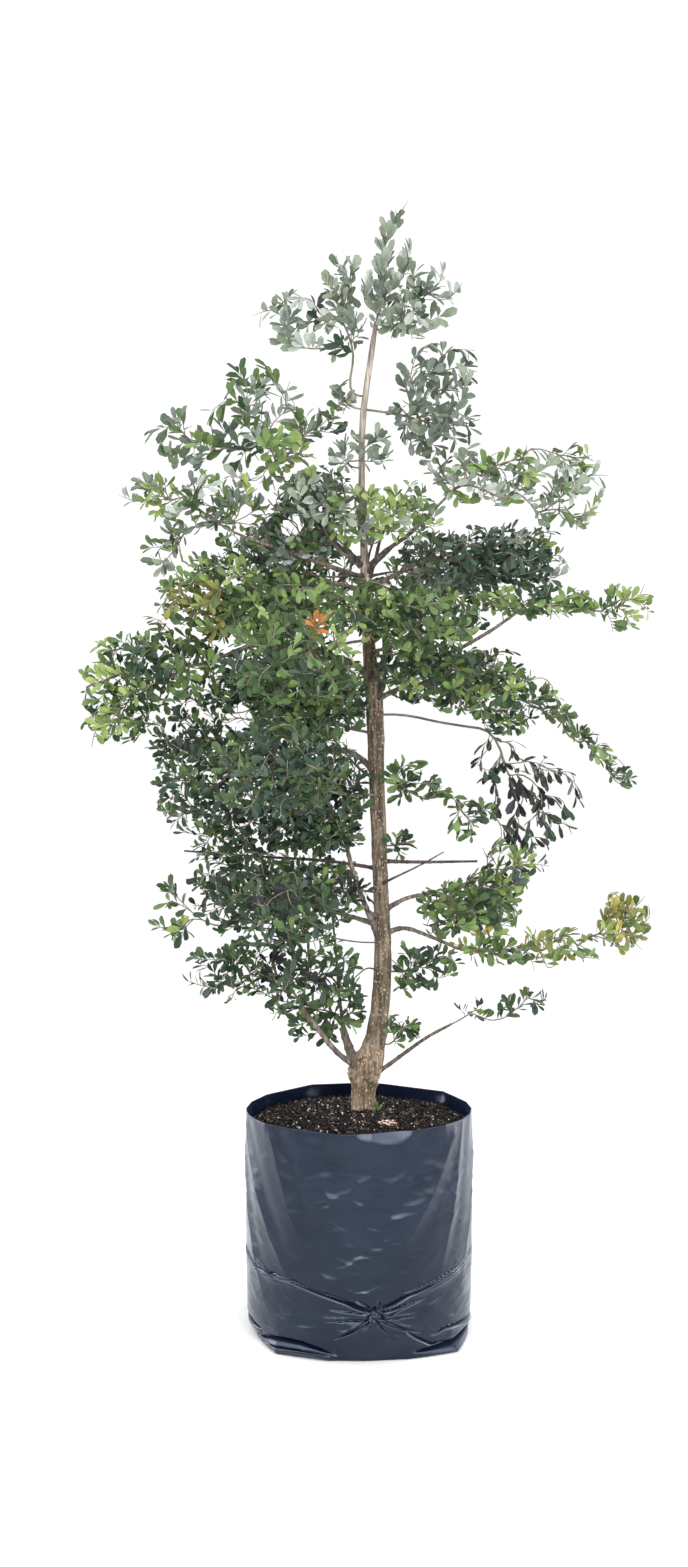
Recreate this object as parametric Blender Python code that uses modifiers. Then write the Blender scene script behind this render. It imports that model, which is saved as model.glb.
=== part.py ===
"""A young broad-leaved tree, about two metres tall, standing in a filled nursery bag.

Metres, +Z up. The origin is the centre of the bag's flat underside. The tree is described as
seen from -Y: side is +X to the right, depth is +Y away from the viewer, height is +Z.
A thin trunk rises off the middle of the soil, leans and straightens, and carries boughs that
each end in a mass of leaves. Every mass fills a space made of a few rounded lobes.
"""

import math
import random
from collections import namedtuple

import bmesh
import bpy
import numpy as np
from mathutils import Quaternion, Vector
from mathutils.bvhtree import BVHTree

# ---------------------------------------------------------------- driving dimensions
GAP = 0.0003                # clear space between pieces that touch
BAG_HEIGHT = 0.400
BAG_RADIUS = 0.2015
BAG_PROFILE = [             # height, and how far the wall lies outside the rim's radius
    (BAG_HEIGHT, 0),
    (0.260, 0.0015),
    (0.120, 0.0015),
    (0.045, 0),
    (0.012, -0.004),
    (0, -0.010),
]
FILM = 0.002                # bag wall
BAG_STEPS = 28
SOIL_EDGE = 0.374           # soil height at the bag's wall
SOIL_CROWN = 0.386          # soil height round the trunk
SOIL_FLAT = 0.085           # radius of the level soil round the trunk
SOIL_CLEARANCE = 0.0005     # between the soil and the film, square to a turned facet
TRUNK_DEPTH = 0.045         # the trunk stands behind the bag's centre

TRUNK_SIDES_RESOLUTION = 4  # twelve sides
BOUGH_SIDES_RESOLUTION = 1  # six sides
FLARE_SIZE = 0.16           # how far the root flare's ridges stand out, in radii
FLARE_HEIGHT = 0.022
FLARE_BETWEEN = 0.35        # swelling between the ridges, against that of a ridge
FLARE_RIDGES = 5

LEAF_THICKNESS = 0.030      # of its length
LEAF_WIDTH = 0.62           # of its length
LEAF_WIDEST = 0.60          # place of the widest point along the leaf
LEAF_LENGTHS = (0.045, 0.100)
LEAF_TO_LOBE = 1.2          # a leaf's length for the mean radius of its lobe
LEAVES_PER_AREA = 135       # leaves for each square metre of lobe surface
LEAVES_PER_TWIG = 5
LEAF_SIZES = (1.1, 1.0, 0.8)
LEAF_SPREAD = (25, 105)     # degrees between a leaf and the way its twig points
LEAF_ROLL = 25              # degrees
LEAF_TRIES = 20             # directions tried for each leaf
LEAF_ROOT = 0.0015          # the first leaf's root, back from its twig's end
LEAF_SPACING = 0.005        # between two leaves' roots along their twig
LEAF_LIMIT = 1.12           # how far out leaves may reach, in lobe radii
LEAF_CLEARANCE = 0.006      # between leaves and the limbs of other pieces
TIP_DEPTH = 0.5             # twig ends below the lobe's surface, in leaf lengths
TIP_DEPTHS = (0.8, 1.4)     # how much that varies
TIP_DEEPEST = 0.8           # of the way to the lobe's centre
TWIG_TIP = 0.0017           # radius of a twig's end
TWIG_GROWTH = 0.42          # radius goes with the number of tips carried, to this power
TWIG_LIMIT = 1.3            # how far out twigs may pass, in lobe radii
TWIG_CLEARANCE = 0.004      # between twigs and the limbs of other pieces
TWIG_SHORTEST = 0.012
TWIG_BEND = 0.4             # how long a twig keeps its parent's direction, of its length
TWIG_TRIES = 6              # places tried for the root of each twig
DETOUR_COST = 0.35          # how much a longer way to the foot counts when a twig joins on
STEM_RADIUS = 0.005         # room kept round each mass's stem
STEM_START = 0.010          # the stem leaves its bough straight for this length
SPACE_CLEARANCE = 0.06      # in lobe radii, between the spaces of two masses
SHARP_EDGE = 35             # degrees

TREE = bpy.data.collections.new("potted_sapling")
CUTTERS = bpy.data.collections.new("cutters")

Lobe = namedtuple("Lobe", "side depth height wide deep tall lean", defaults=(0,))
Bough = namedtuple("Bough", "foot_radius tip_radius route")
Mass = namedtuple("Mass", "foot lobes route droop", defaults=((), 0.0))

# ---------------------------------------------------------------- the trunk's line
# side, height, radius
TRUNK = [
    (0.008, SOIL_CROWN + GAP, 0.0255),
    (0.008, 0.413, 0.0245),
    (0.008, 0.441, 0.0262),
    (0.013, 0.463, 0.0290),
    (0.025, 0.496, 0.0217),
    (0.036, 0.551, 0.0158),
    (0.043, 0.660, 0.0144),
    (0.040, 0.770, 0.0132),
    (0.033, 0.950, 0.0136),
    (0.030, 1.040, 0.0148),
    (0.026, 1.150, 0.0153),
    (0.019, 1.205, 0.0124),
    (0.014, 1.300, 0.0104),
    (0.012, 1.352, 0.0104),
    (0.009, 1.392, 0.0050),
    (0.005, 1.480, 0.0041),
    (0.006, 1.620, 0.0040),
    (0.022, 1.745, 0.0042),
    (0.030, 1.795, 0.0038),
]

# ---------------------------------------------------------------- the boughs
# The route's points are side, depth, height; it starts inside the trunk.
BOUGHS = {
    "upper_right_bough": Bough(0.0042, 0.0032, [
        (0.012, 0.045, 1.362), (0.045, 0.028, 1.393), (0.090, 0.010, 1.425), (0.135, 0.000, 1.470)]),
    "right_dark_bough": Bough(0.0042, 0.0032, [
        (0.014, 0.046, 1.326), (0.060, 0.062, 1.350), (0.100, 0.072, 1.370)]),
    "right_tip_bough": Bough(0.0048, 0.0026, [
        (0.024, 0.045, 1.180), (0.080, 0.030, 1.195), (0.160, 0.010, 1.215), (0.225, 0.000, 1.250),
        (0.262, 0.000, 1.275)]),
    "right_lower_bough": Bough(0.0045, 0.0032, [
        (0.028, 0.045, 1.128), (0.070, 0.030, 1.150), (0.110, 0.020, 1.157)]),
    "right_arm_upper_bough": Bough(0.0042, 0.0030, [
        (0.042, 0.045, 0.750), (0.085, 0.030, 0.775), (0.125, 0.020, 0.785)]),
    "right_arm_lower_bough": Bough(0.0042, 0.0028, [
        (0.043, 0.045, 0.708), (0.080, 0.036, 0.720), (0.120, 0.016, 0.711), (0.160, 0.000, 0.696)]),
    "right_low_bough": Bough(0.0042, 0.0024, [
        (0.014, 0.045, 0.440), (0.060, 0.038, 0.475), (0.120, 0.024, 0.522), (0.165, 0.010, 0.550)]),
    "bare_right_bough": Bough(0.0034, 0.0020, [
        (0.037, 0.048, 0.840), (0.110, 0.066, 0.836), (0.215, 0.085, 0.835)]),
    "bare_left_bough": Bough(0.0034, 0.0016, [
        (0.037, 0.048, 0.826), (-0.060, 0.100, 0.834), (-0.180, 0.130, 0.838), (-0.320, 0.120, 0.850)]),
    "upper_left_bough": Bough(0.0055, 0.0036, [
        (0.011, 0.047, 1.366), (-0.025, 0.055, 1.392), (-0.065, 0.055, 1.430), (-0.100, 0.050, 1.465),
        (-0.125, 0.045, 1.505)]),
    "upper_left_outer_bough": Bough(0.0046, 0.0030, [
        (0.012, 0.045, 1.345), (-0.050, 0.022, 1.366), (-0.120, 0.000, 1.390), (-0.185, -0.010, 1.412)]),
    "left_mid_bough": Bough(0.0046, 0.0034, [
        (0.013, 0.044, 1.322), (-0.048, -0.002, 1.338), (-0.095, -0.036, 1.340)]),
    "far_left_bough": Bough(0.0055, 0.0030, [
        (0.022, 0.045, 1.168), (-0.020, 0.030, 1.200), (-0.105, 0.000, 1.224), (-0.185, -0.020, 1.228),
        (-0.250, -0.030, 1.205)]),
    "left_rising_bough": Bough(0.0055, 0.0036, [
        (0.040, 0.045, 0.692), (0.010, 0.024, 0.765), (-0.012, 0.008, 0.830), (-0.024, 0.000, 0.880)]),
    "left_outer_bough": Bough(0.0050, 0.0034, [
        (0.031, 0.045, 1.000), (-0.015, 0.064, 1.035), (-0.080, 0.082, 1.038), (-0.145, 0.090, 1.020)]),
    "left_lower_bough": Bough(0.0046, 0.0034, [
        (0.040, 0.045, 0.722), (-0.010, 0.048, 0.738), (-0.050, 0.030, 0.752)]),
    "low_left_bough": Bough(0.0055, 0.0036, [
        (0.010, 0.040, 0.455), (-0.040, 0.010, 0.500), (-0.085, -0.004, 0.560), (-0.110, -0.010, 0.600)]),
    "low_left_riser": Bough(0.0110, 0.0060, [
        (0.010, 0.048, 0.455), (-0.014, 0.056, 0.488), (-0.030, 0.060, 0.535)]),
}

# ---------------------------------------------------------------- the masses of leaves
# foot: the bough it grows on from, "trunk", or the height at which it leaves the trunk.
MASSES = {
    "leader_spire_leaves": Mass("trunk", [
        Lobe(0.048, 0.030, 1.848, 0.058, 0.055, 0.068), Lobe(0.058, 0.030, 1.950, 0.034, 0.035, 0.068)],
        droop=-0.8),
    "top_right_leaves": Mass(1.780, [
        Lobe(0.110, 0.000, 1.830, 0.068, 0.062, 0.062), Lobe(0.070, 0.000, 1.800, 0.045, 0.050, 0.040)]),
    "top_left_leaves": Mass(1.665, [
        Lobe(-0.030, 0.030, 1.795, 0.048, 0.050, 0.075), Lobe(-0.110, 0.040, 1.797, 0.064, 0.048, 0.058),
        Lobe(-0.025, 0.020, 1.870, 0.040, 0.040, 0.042)], [(-0.012, 0.040, 1.720)]),
    "upper_right_small_leaves": Mass(1.640, [
        Lobe(0.145, 0.050, 1.615, 0.070, 0.070, 0.070), Lobe(0.145, 0.060, 1.705, 0.075, 0.060, 0.060),
        Lobe(0.080, 0.030, 1.630, 0.035, 0.040, 0.035)]),
    "leader_tuft_high_leaves": Mass(1.640, [
        Lobe(-0.030, 0.030, 1.660, 0.036, 0.032, 0.032)]),
    "leader_tuft_low_leaves": Mass(1.540, [
        Lobe(-0.030, 0.020, 1.560, 0.036, 0.036, 0.050), Lobe(0.032, 0.000, 1.570, 0.028, 0.032, 0.050)]),
    "centre_top_leaves": Mass(1.400, [
        Lobe(-0.005, -0.035, 1.455, 0.070, 0.064, 0.052), Lobe(0.080, -0.030, 1.460, 0.066, 0.064, 0.050)]),
    "upper_right_arm_leaves": Mass("upper_right_bough", [
        Lobe(0.195, 0.000, 1.525, 0.080, 0.070, 0.052), Lobe(0.300, -0.010, 1.522, 0.085, 0.060, 0.052),
        Lobe(0.380, -0.020, 1.512, 0.044, 0.042, 0.065), Lobe(0.360, -0.020, 1.455, 0.060, 0.032, 0.026)]),
    "right_dark_leaves": Mass("right_dark_bough", [
        Lobe(0.180, 0.080, 1.375, 0.105, 0.090, 0.060), Lobe(0.290, 0.080, 1.380, 0.080, 0.080, 0.066)]),
    "right_tip_leaves": Mass("right_tip_bough", [
        Lobe(0.300, 0.000, 1.308, 0.085, 0.070, 0.036), Lobe(0.390, -0.010, 1.300, 0.058, 0.040, 0.026),
        Lobe(0.466, -0.020, 1.295, 0.054, 0.038, 0.042)]),
    "centre_front_leaves": Mass(1.215, [
        Lobe(0.105, -0.100, 1.270, 0.095, 0.100, 0.062), Lobe(0.000, -0.120, 1.290, 0.075, 0.080, 0.050)]),
    "right_lower_leaves": Mass("right_lower_bough", [
        Lobe(0.110, -0.020, 1.188, 0.085, 0.080, 0.055), Lobe(0.220, 0.000, 1.160, 0.085, 0.085, 0.062),
        Lobe(0.265, 0.000, 1.100, 0.045, 0.050, 0.040), Lobe(0.335, -0.020, 1.120, 0.064, 0.040, 0.032, 38),
        Lobe(0.400, -0.030, 1.060, 0.060, 0.032, 0.022, 42),
        Lobe(0.460, -0.030, 1.002, 0.044, 0.028, 0.022, 42)]),
    "hanging_dark_leaves": Mass(1.100, [
        Lobe(0.265, 0.100, 1.010, 0.055, 0.050, 0.048), Lobe(0.330, 0.090, 0.958, 0.075, 0.062, 0.080),
        Lobe(0.300, 0.090, 0.885, 0.060, 0.042, 0.034)], [(0.130, 0.110, 1.090), (0.220, 0.115, 1.075)], 0.9),
    "right_small_leaves": Mass(0.985, [
        Lobe(0.085, 0.010, 0.985, 0.055, 0.052, 0.046), Lobe(0.165, 0.010, 0.958, 0.055, 0.026, 0.018, 15),
        Lobe(0.225, 0.000, 0.940, 0.038, 0.032, 0.024), Lobe(0.185, 0.000, 0.902, 0.045, 0.032, 0.032)]),
    "trunk_tuft_right_leaves": Mass(0.868, [
        Lobe(0.072, 0.020, 0.872, 0.032, 0.032, 0.028)]),
    "right_arm_upper_leaves": Mass("right_arm_upper_bough", [
        Lobe(0.170, 0.000, 0.760, 0.075, 0.070, 0.050), Lobe(0.240, 0.000, 0.795, 0.050, 0.050, 0.046),
        Lobe(0.275, -0.010, 0.838, 0.055, 0.046, 0.045), Lobe(0.215, 0.160, 0.740, 0.085, 0.100, 0.050)]),
    "right_arm_lower_leaves": Mass("right_arm_lower_bough", [
        Lobe(0.255, -0.020, 0.692, 0.095, 0.060, 0.040), Lobe(0.370, -0.030, 0.698, 0.065, 0.042, 0.032),
        Lobe(0.465, -0.030, 0.738, 0.048, 0.042, 0.052)]),
    "right_dark_small_leaves": Mass(0.640, [
        Lobe(0.120, 0.020, 0.658, 0.068, 0.050, 0.046), Lobe(0.085, 0.030, 0.615, 0.028, 0.026, 0.028)]),
    "right_low_spray_leaves": Mass("right_low_bough", [
        Lobe(0.205, 0.005, 0.575, 0.046, 0.034, 0.032), Lobe(0.290, 0.000, 0.592, 0.050, 0.034, 0.032)]),
    "low_tuft_right_leaves": Mass(0.512, [
        Lobe(0.078, 0.000, 0.545, 0.034, 0.030, 0.032)]),
    "upper_left_leaves": Mass("upper_left_bough", [
        Lobe(-0.160, 0.040, 1.590, 0.100, 0.100, 0.090), Lobe(-0.190, 0.030, 1.675, 0.052, 0.052, 0.066),
        Lobe(-0.300, 0.030, 1.590, 0.070, 0.052, 0.056), Lobe(-0.080, 0.030, 1.615, 0.060, 0.052, 0.042)]),
    "upper_left_outer_leaves": Mass("upper_left_outer_bough", [
        Lobe(-0.295, -0.020, 1.478, 0.095, 0.070, 0.058), Lobe(-0.365, -0.030, 1.495, 0.052, 0.042, 0.040),
        Lobe(-0.220, -0.020, 1.470, 0.055, 0.070, 0.055), Lobe(-0.340, 0.000, 1.385, 0.042, 0.042, 0.052)]),
    "upper_left_inner_leaves": Mass(1.382, [
        Lobe(-0.080, 0.020, 1.490, 0.070, 0.080, 0.056), Lobe(-0.125, 0.050, 1.412, 0.080, 0.080, 0.044)]),
    "left_mid_leaves": Mass("left_mid_bough", [
        Lobe(-0.130, -0.070, 1.290, 0.110, 0.100, 0.060), Lobe(-0.255, -0.060, 1.308, 0.085, 0.090, 0.075)]),
    "far_left_leaves": Mass("far_left_bough", [
        Lobe(-0.335, -0.040, 1.194, 0.098, 0.090, 0.080), Lobe(-0.440, -0.050, 1.150, 0.054, 0.056, 0.086),
        Lobe(-0.410, -0.050, 1.092, 0.052, 0.042, 0.032)]),
    "left_dense_upper_leaves": Mass(1.120, [
        Lobe(-0.085, 0.000, 1.140, 0.100, 0.100, 0.078), Lobe(-0.215, 0.020, 1.145, 0.068, 0.080, 0.070)]),
    "left_dense_low_leaves": Mass("left_rising_bough", [
        Lobe(-0.070, -0.010, 0.968, 0.090, 0.090, 0.085), Lobe(-0.085, 0.000, 0.895, 0.090, 0.070, 0.036)]),
    "left_dense_outer_leaves": Mass("left_outer_bough", [
        Lobe(-0.252, 0.080, 0.978, 0.118, 0.110, 0.102), Lobe(-0.295, 0.050, 1.060, 0.085, 0.080, 0.066),
        Lobe(-0.215, 0.050, 0.880, 0.085, 0.070, 0.050)]),
    "left_lower_leaves": Mass("left_lower_bough", [
        Lobe(-0.098, 0.000, 0.784, 0.115, 0.100, 0.060), Lobe(-0.235, -0.010, 0.795, 0.075, 0.080, 0.080),
        Lobe(-0.130, -0.170, 0.778, 0.095, 0.095, 0.060)]),
    "left_outer_spray_leaves": Mass(0.690, [
        Lobe(-0.318, 0.000, 0.775, 0.054, 0.042, 0.046), Lobe(-0.335, 0.000, 0.718, 0.055, 0.036, 0.032)],
        [(-0.060, 0.040, 0.705), (-0.170, 0.020, 0.722), (-0.245, 0.005, 0.728)]),
    "lower_left_leaves": Mass("low_left_bough", [
        Lobe(-0.120, -0.030, 0.660, 0.118, 0.085, 0.076), Lobe(-0.240, -0.030, 0.655, 0.066, 0.056, 0.052)]),
    "lowest_left_leaves": Mass("low_left_riser", [
        Lobe(-0.075, 0.060, 0.568, 0.085, 0.064, 0.062), Lobe(-0.012, 0.040, 0.590, 0.038, 0.040, 0.060)]),
    "front_upper_left_leaves": Mass(1.235, [
        Lobe(-0.110, -0.270, 1.215, 0.105, 0.105, 0.072)]),
    "front_mid_left_leaves": Mass(0.960, [
        Lobe(-0.130, -0.240, 1.030, 0.100, 0.110, 0.082)]),
    "back_upper_right_leaves": Mass(1.300, [
        Lobe(0.160, 0.255, 1.320, 0.110, 0.115, 0.085)]),
    "back_upper_left_leaves": Mass(1.292, [
        Lobe(-0.140, 0.250, 1.370, 0.118, 0.115, 0.095)]),
    "back_mid_left_leaves": Mass(1.070, [
        Lobe(-0.120, 0.290, 1.130, 0.120, 0.125, 0.100)]),
    "back_mid_right_leaves": Mass(1.160, [
        Lobe(0.165, 0.235, 1.165, 0.095, 0.105, 0.052)]),
    "back_low_left_leaves": Mass(0.780, [
        Lobe(-0.130, 0.245, 0.775, 0.115, 0.115, 0.070)]),
}


# ---------------------------------------------------------------- materials and objects
def plain_material(name, colour, roughness):
    """A matt, non-metallic finish."""
    material = bpy.data.materials.new(name)
    material.use_nodes = True
    shader = material.node_tree.nodes["Principled BSDF"]
    shader.inputs["Base Color"].default_value = (*colour, 1)
    shader.inputs["Roughness"].default_value = roughness
    shader.inputs["Metallic"].default_value = 0
    return material


def add_piece(name, mesh, material, collection=TREE):
    """An object that shows the mesh in the material."""
    piece = bpy.data.objects.new(name, mesh)
    mesh.materials.clear()
    mesh.materials.append(material)
    mesh.shade_smooth()
    mesh.set_sharp_from_angle(angle=math.radians(SHARP_EDGE))
    collection.objects.link(piece)
    return piece


# ---------------------------------------------------------------- the filled bag
def turned_piece(name, profile, material):
    """A body of revolution; the profile's radius and height pairs run down its outer side."""
    mesh = bpy.data.meshes.new(name)
    points = [(radius, 0, height) for radius, height in profile]
    edges = [(index, index + 1) for index in range(len(points) - 1)]
    mesh.from_pydata(points, edges, [])
    piece = add_piece(name, mesh, material)
    screw = piece.modifiers.new("turned", "SCREW")
    screw.steps = BAG_STEPS
    screw.render_steps = BAG_STEPS
    screw.use_merge_vertices = True
    screw.merge_threshold = 1e-5
    screw.use_smooth_shade = True
    return piece


def make_bag(material, soil_material):
    """The film bag, and the block of potting soil with the roots that fills it."""
    wall = [(BAG_RADIUS + swell, height) for height, swell in BAG_PROFILE]
    bag = turned_piece("nursery_bag", wall + [(0, 0)], material)
    film = bag.modifiers.new("film", "SOLIDIFY")
    film.thickness = FILM
    film.offset = -1
    film.use_even_offset = True
    clear = FILM + SOIL_CLEARANCE
    side = [(radius - clear, height + FILM + GAP) for radius, height in wall[1:]]
    top = [(0, SOIL_CROWN), (SOIL_FLAT, SOIL_CROWN), (BAG_RADIUS - clear, SOIL_EDGE)]
    turned_piece("root_ball", top + side + [(0, FILM + GAP)], soil_material)


# ---------------------------------------------------------------- trunk and boughs
def smooth_route(points, parts):
    """A soft curve through the points, each stretch cut into the given number of parts."""
    points = [Vector(point) for point in points]
    ends = [points[0] * 2 - points[1]] + points + [points[-1] * 2 - points[-2]]
    route = []
    for before, start, end, after in zip(ends, ends[1:], ends[2:], ends[3:]):
        for part in range(parts):
            t = part / parts
            route.append(0.5 * (2 * start + (end - before) * t
                                + (2 * before - 5 * start + 4 * end - after) * t ** 2
                                + (3 * start - before - 3 * end + after) * t ** 3))
    route.append(points[-1])
    return route


def tapered_curve(name, route, radii, resolution=None, section=None):
    """A limb as a bevelled curve: round, or with the given outline as its section."""
    curve = bpy.data.curves.new(name, "CURVE")
    curve.dimensions = "3D"
    curve.use_fill_caps = True
    if section is None:
        curve.bevel_depth = 1
        curve.bevel_resolution = resolution
    else:
        curve.bevel_mode = "OBJECT"
        curve.bevel_object = section
    spline = curve.splines.new("POLY")
    spline.points.add(len(route) - 1)
    for place, point, radius in zip(spline.points, route, radii):
        place.co = (*point, 1)
        place.radius = radius
    limb = bpy.data.objects.new(name, curve)
    CUTTERS.objects.link(limb)
    return limb


def meshes_from_curves(curves):
    """The curves' closed meshes, with their caps welded; the curves are removed."""
    bpy.context.view_layer.update()
    depsgraph = bpy.context.evaluated_depsgraph_get()
    meshes = []
    for curve in curves:
        mesh = bpy.data.meshes.new_from_object(curve.evaluated_get(depsgraph))
        mesh.transform(curve.matrix_world)
        body = bmesh.new()
        body.from_mesh(mesh)
        bmesh.ops.remove_doubles(body, verts=body.verts, dist=1e-6)
        bmesh.ops.recalc_face_normals(body, faces=body.faces)
        body.to_mesh(mesh)
        body.free()
        meshes.append(mesh)
    for curve in curves:
        bpy.data.objects.remove(curve)
    return meshes


def trunk_line():
    """The trunk's centres and radii from the soil to its tip."""
    stations = [Vector((side, TRUNK_DEPTH, height)) for side, height, _ in TRUNK]
    return stations, [radius for _, _, radius in TRUNK]


def trunk_mesh(name, spare):
    """The trunk, with its root flare, grown all over by the spare distance."""
    stations, radii = trunk_line()
    radii = [radius + spare for radius in radii]
    mesh = meshes_from_curves([tapered_curve(name, stations, radii, TRUNK_SIDES_RESOLUTION)])[0]
    foot = stations[0]
    for vertex in mesh.vertices:
        out = Vector((vertex.co.x - foot.x, vertex.co.y - foot.y, 0))
        height = vertex.co.z - foot.z
        ridge = 0.5 + 0.5 * math.cos(FLARE_RIDGES * math.atan2(out.y, out.x))
        swell = FLARE_SIZE * (FLARE_BETWEEN + ridge) * math.exp(-(height / FLARE_HEIGHT) ** 2)
        vertex.co += out * swell
    return mesh


def make_limbs(material):
    """The trunk as one piece, and each bough cut to meet it."""
    add_piece("trunk", trunk_mesh("trunk", 0), material)
    cutter = add_piece("trunk_cutter", trunk_mesh("trunk_cutter", GAP), material, CUTTERS)
    cutter.hide_render = True
    cutter.display_type = "WIRE"
    curves = []
    for name, bough in BOUGHS.items():
        route, radii = bough_line(bough)
        curves.append(tapered_curve(name, route, radii, BOUGH_SIDES_RESOLUTION))
    for name, mesh in zip(BOUGHS, meshes_from_curves(curves)):
        piece = add_piece(name, mesh, material)
        cut = piece.modifiers.new("meets_trunk", "BOOLEAN")
        cut.operation = "DIFFERENCE"
        cut.solver = "EXACT"
        cut.object = cutter


def bough_line(bough):
    """A bough's centres and radii."""
    route = smooth_route(bough.route, 2)
    steps = len(route) - 1
    radii = [bough.foot_radius + (bough.tip_radius - bough.foot_radius) * step / steps
             for step in range(steps + 1)]
    return route, radii


# ---------------------------------------------------------------- the spaces of the crown
def lobe_matrix(lobe):
    """Turns a point, taken from the lobe's centre, into lobe radii."""
    lean = math.radians(lobe.lean)
    turn = np.array([[math.cos(lean), 0, -math.sin(lean)], [0, 1, 0], [math.sin(lean), 0, math.cos(lean)]])
    return turn / np.array([[lobe.wide], [lobe.deep], [lobe.tall]])


class Crown:
    """Which space a point is in, and how far it is from the limbs."""

    def __init__(self):
        self.owner = []
        self.centres = []
        self.matrices = []
        for name, mass in MASSES.items():
            for lobe in mass.lobes:
                self.owner.append(name)
                self.centres.append((lobe.side, lobe.depth, lobe.height))
                self.matrices.append(lobe_matrix(lobe))
        self.owner = np.array(self.owner)
        self.centres = np.array(self.centres)
        self.matrices = np.array(self.matrices)
        self.limbs = []
        self.limb_arrays = {}
        self.leaf_middles = []

    def add_limb(self, owner, route, radii):
        """Takes note of a limb that other masses keep clear of."""
        for start, end, radius in zip(route, route[1:], radii):
            self.limbs.append((owner, start, end, radius))

    def reach(self, name, points):
        """Distances in lobe radii: into the named mass's space, and into the others'."""
        offsets = np.asarray(points)[:, None, :] - self.centres[None, :, :]
        distances = np.linalg.norm(np.einsum("lij,plj->pli", self.matrices, offsets), axis=2)
        own = self.owner == name
        return distances[:, own].min(axis=1), distances[:, ~own].min(axis=1)

    def clearance(self, name, points):
        """Distance from the limbs' surfaces to the nearest of the points."""
        if name not in self.limb_arrays:
            others = [limb[1:] for limb in self.limbs if limb[0] != name]
            start, end, radius = [np.array(column) for column in zip(*others)]
            self.limb_arrays[name] = (start, end - start, radius)
        start, way, radius = self.limb_arrays[name]
        offset = np.asarray(points)[:, None, :] - start[None, :, :]
        along = np.einsum("pli,li->pl", offset, way) / np.einsum("li,li->l", way, way)
        near = offset - np.clip(along, 0, 1)[..., None] * way[None, :, :]
        return (np.linalg.norm(near, axis=2) - radius).min()

    def is_free(self, name, points, margin, limit):
        """True where the points keep to the named space and clear of the limbs."""
        own, others = self.reach(name, points)
        if own.max() > limit or (own > others - SPACE_CLEARANCE).any():
            return False
        return self.clearance(name, points) > margin


# ---------------------------------------------------------------- growth of one mass
class Shoot:
    """A point on the growing twigs."""

    def __init__(self, place, parent):
        self.place = place
        self.parent = parent
        self.way = 0.0 if parent is None else parent.way + (place - parent.place).length
        self.tips = 0

    def heading(self):
        """The direction in which the twig grows here."""
        if self.parent is None:
            return Vector((0, 0, 1))
        return (self.place - self.parent.place).normalized()


def stem_start(mass):
    """Where a mass's stem starts, its direction, and its radius there."""
    stations, radii = trunk_line()
    first = Vector(mass.route[0] if mass.route else mass.lobes[0][:3])
    if mass.foot == "trunk":
        heading = (stations[-1] - stations[-2]).normalized()
        return stations[-1] + heading * GAP, heading, radii[-1]
    if isinstance(mass.foot, str):
        route, bough_radii = bough_line(BOUGHS[mass.foot])
        heading = (route[-1] - route[-2]).normalized()
        return route[-1] + heading * GAP, heading, bough_radii[-1]
    for low, high, width_low, width_high in zip(stations, stations[1:], radii, radii[1:]):
        if low.z <= mass.foot < high.z:
            part = (mass.foot - low.z) / (high.z - low.z)
            centre = low.lerp(high, part)
            width = max(width_low, width_high)
            axis = (high - low).normalized()
    out = first - centre
    heading = (out - axis * out.dot(axis)).normalized()
    return centre + heading * (width + GAP), heading, None


def stem_route(mass):
    """The bare stem from its foot to the middle of the first lobe."""
    start, heading, _ = stem_start(mass)
    places = [start, start + heading * STEM_START]
    for target in list(mass.route) + [mass.lobes[0][:3]]:
        target = Vector(target)
        origin = places[-1]
        heading = (places[-1] - places[-2]).normalized()
        bend = origin + heading * (TWIG_BEND * (target - origin).length)
        for part in (0.33, 0.66, 1):
            places.append(origin * (1 - part) ** 2 + bend * (2 * part * (1 - part)) + target * part ** 2)
    return places


def lobe_area(lobe):
    """Surface of the lobe, close enough."""
    wide, deep, tall = lobe.wide, lobe.deep, lobe.tall
    mean = ((wide * deep) ** 1.6 + (wide * tall) ** 1.6 + (deep * tall) ** 1.6) / 3
    return 4 * math.pi * mean ** (1 / 1.6)


def leaf_length(lobe):
    """Leaves are as long as suits the lobe, within limits."""
    size = (lobe.wide * lobe.deep * lobe.tall) ** (1 / 3)
    return min(max(LEAF_TO_LOBE * size, LEAF_LENGTHS[0]), LEAF_LENGTHS[1])


def even_directions(count, turn):
    """Directions spread evenly over a ball, turned about the upright axis."""
    directions = []
    for index in range(count):
        height = 1 - (2 * index + 1) / count
        angle = turn + index * math.pi * (3 - math.sqrt(5))
        flat = math.sqrt(1 - height ** 2)
        directions.append(Vector((flat * math.cos(angle), flat * math.sin(angle), height)))
    return directions


def tip_places(mass, chance):
    """Twig ends, spread inside each lobe so that their leaves reach its surface."""
    tips = []
    for lobe in mass.lobes:
        length = leaf_length(lobe)
        leaves = lobe_area(lobe) * LEAVES_PER_AREA
        count = max(1, round(leaves / LEAVES_PER_TWIG))
        turn = np.linalg.inv(lobe_matrix(lobe))
        centre = Vector((lobe.side, lobe.depth, lobe.height))
        for direction in even_directions(count, chance.uniform(0, math.tau)):
            surface = Vector(turn @ np.array(direction))
            inward = TIP_DEPTH * length * chance.uniform(*TIP_DEPTHS)
            inward = min(inward, TIP_DEEPEST * surface.length)
            tips.append((centre + surface * (1 - inward / surface.length), surface.normalized(), length))
    return tips


def leaf_points(foot, heading, face, length):
    """Points all over a leaf, used to test whether it has room."""
    across = heading.cross(face)
    points = []
    for along in np.linspace(0.12, 1.0, 8):
        half = 0.5 * LEAF_WIDTH * min(along / LEAF_WIDEST, (1 - along) / (1 - LEAF_WIDEST))
        for sideways in (-1, 0, 1):
            points.append(foot + heading * (length * along) + across * (length * half * sideways))
    return points


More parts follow.
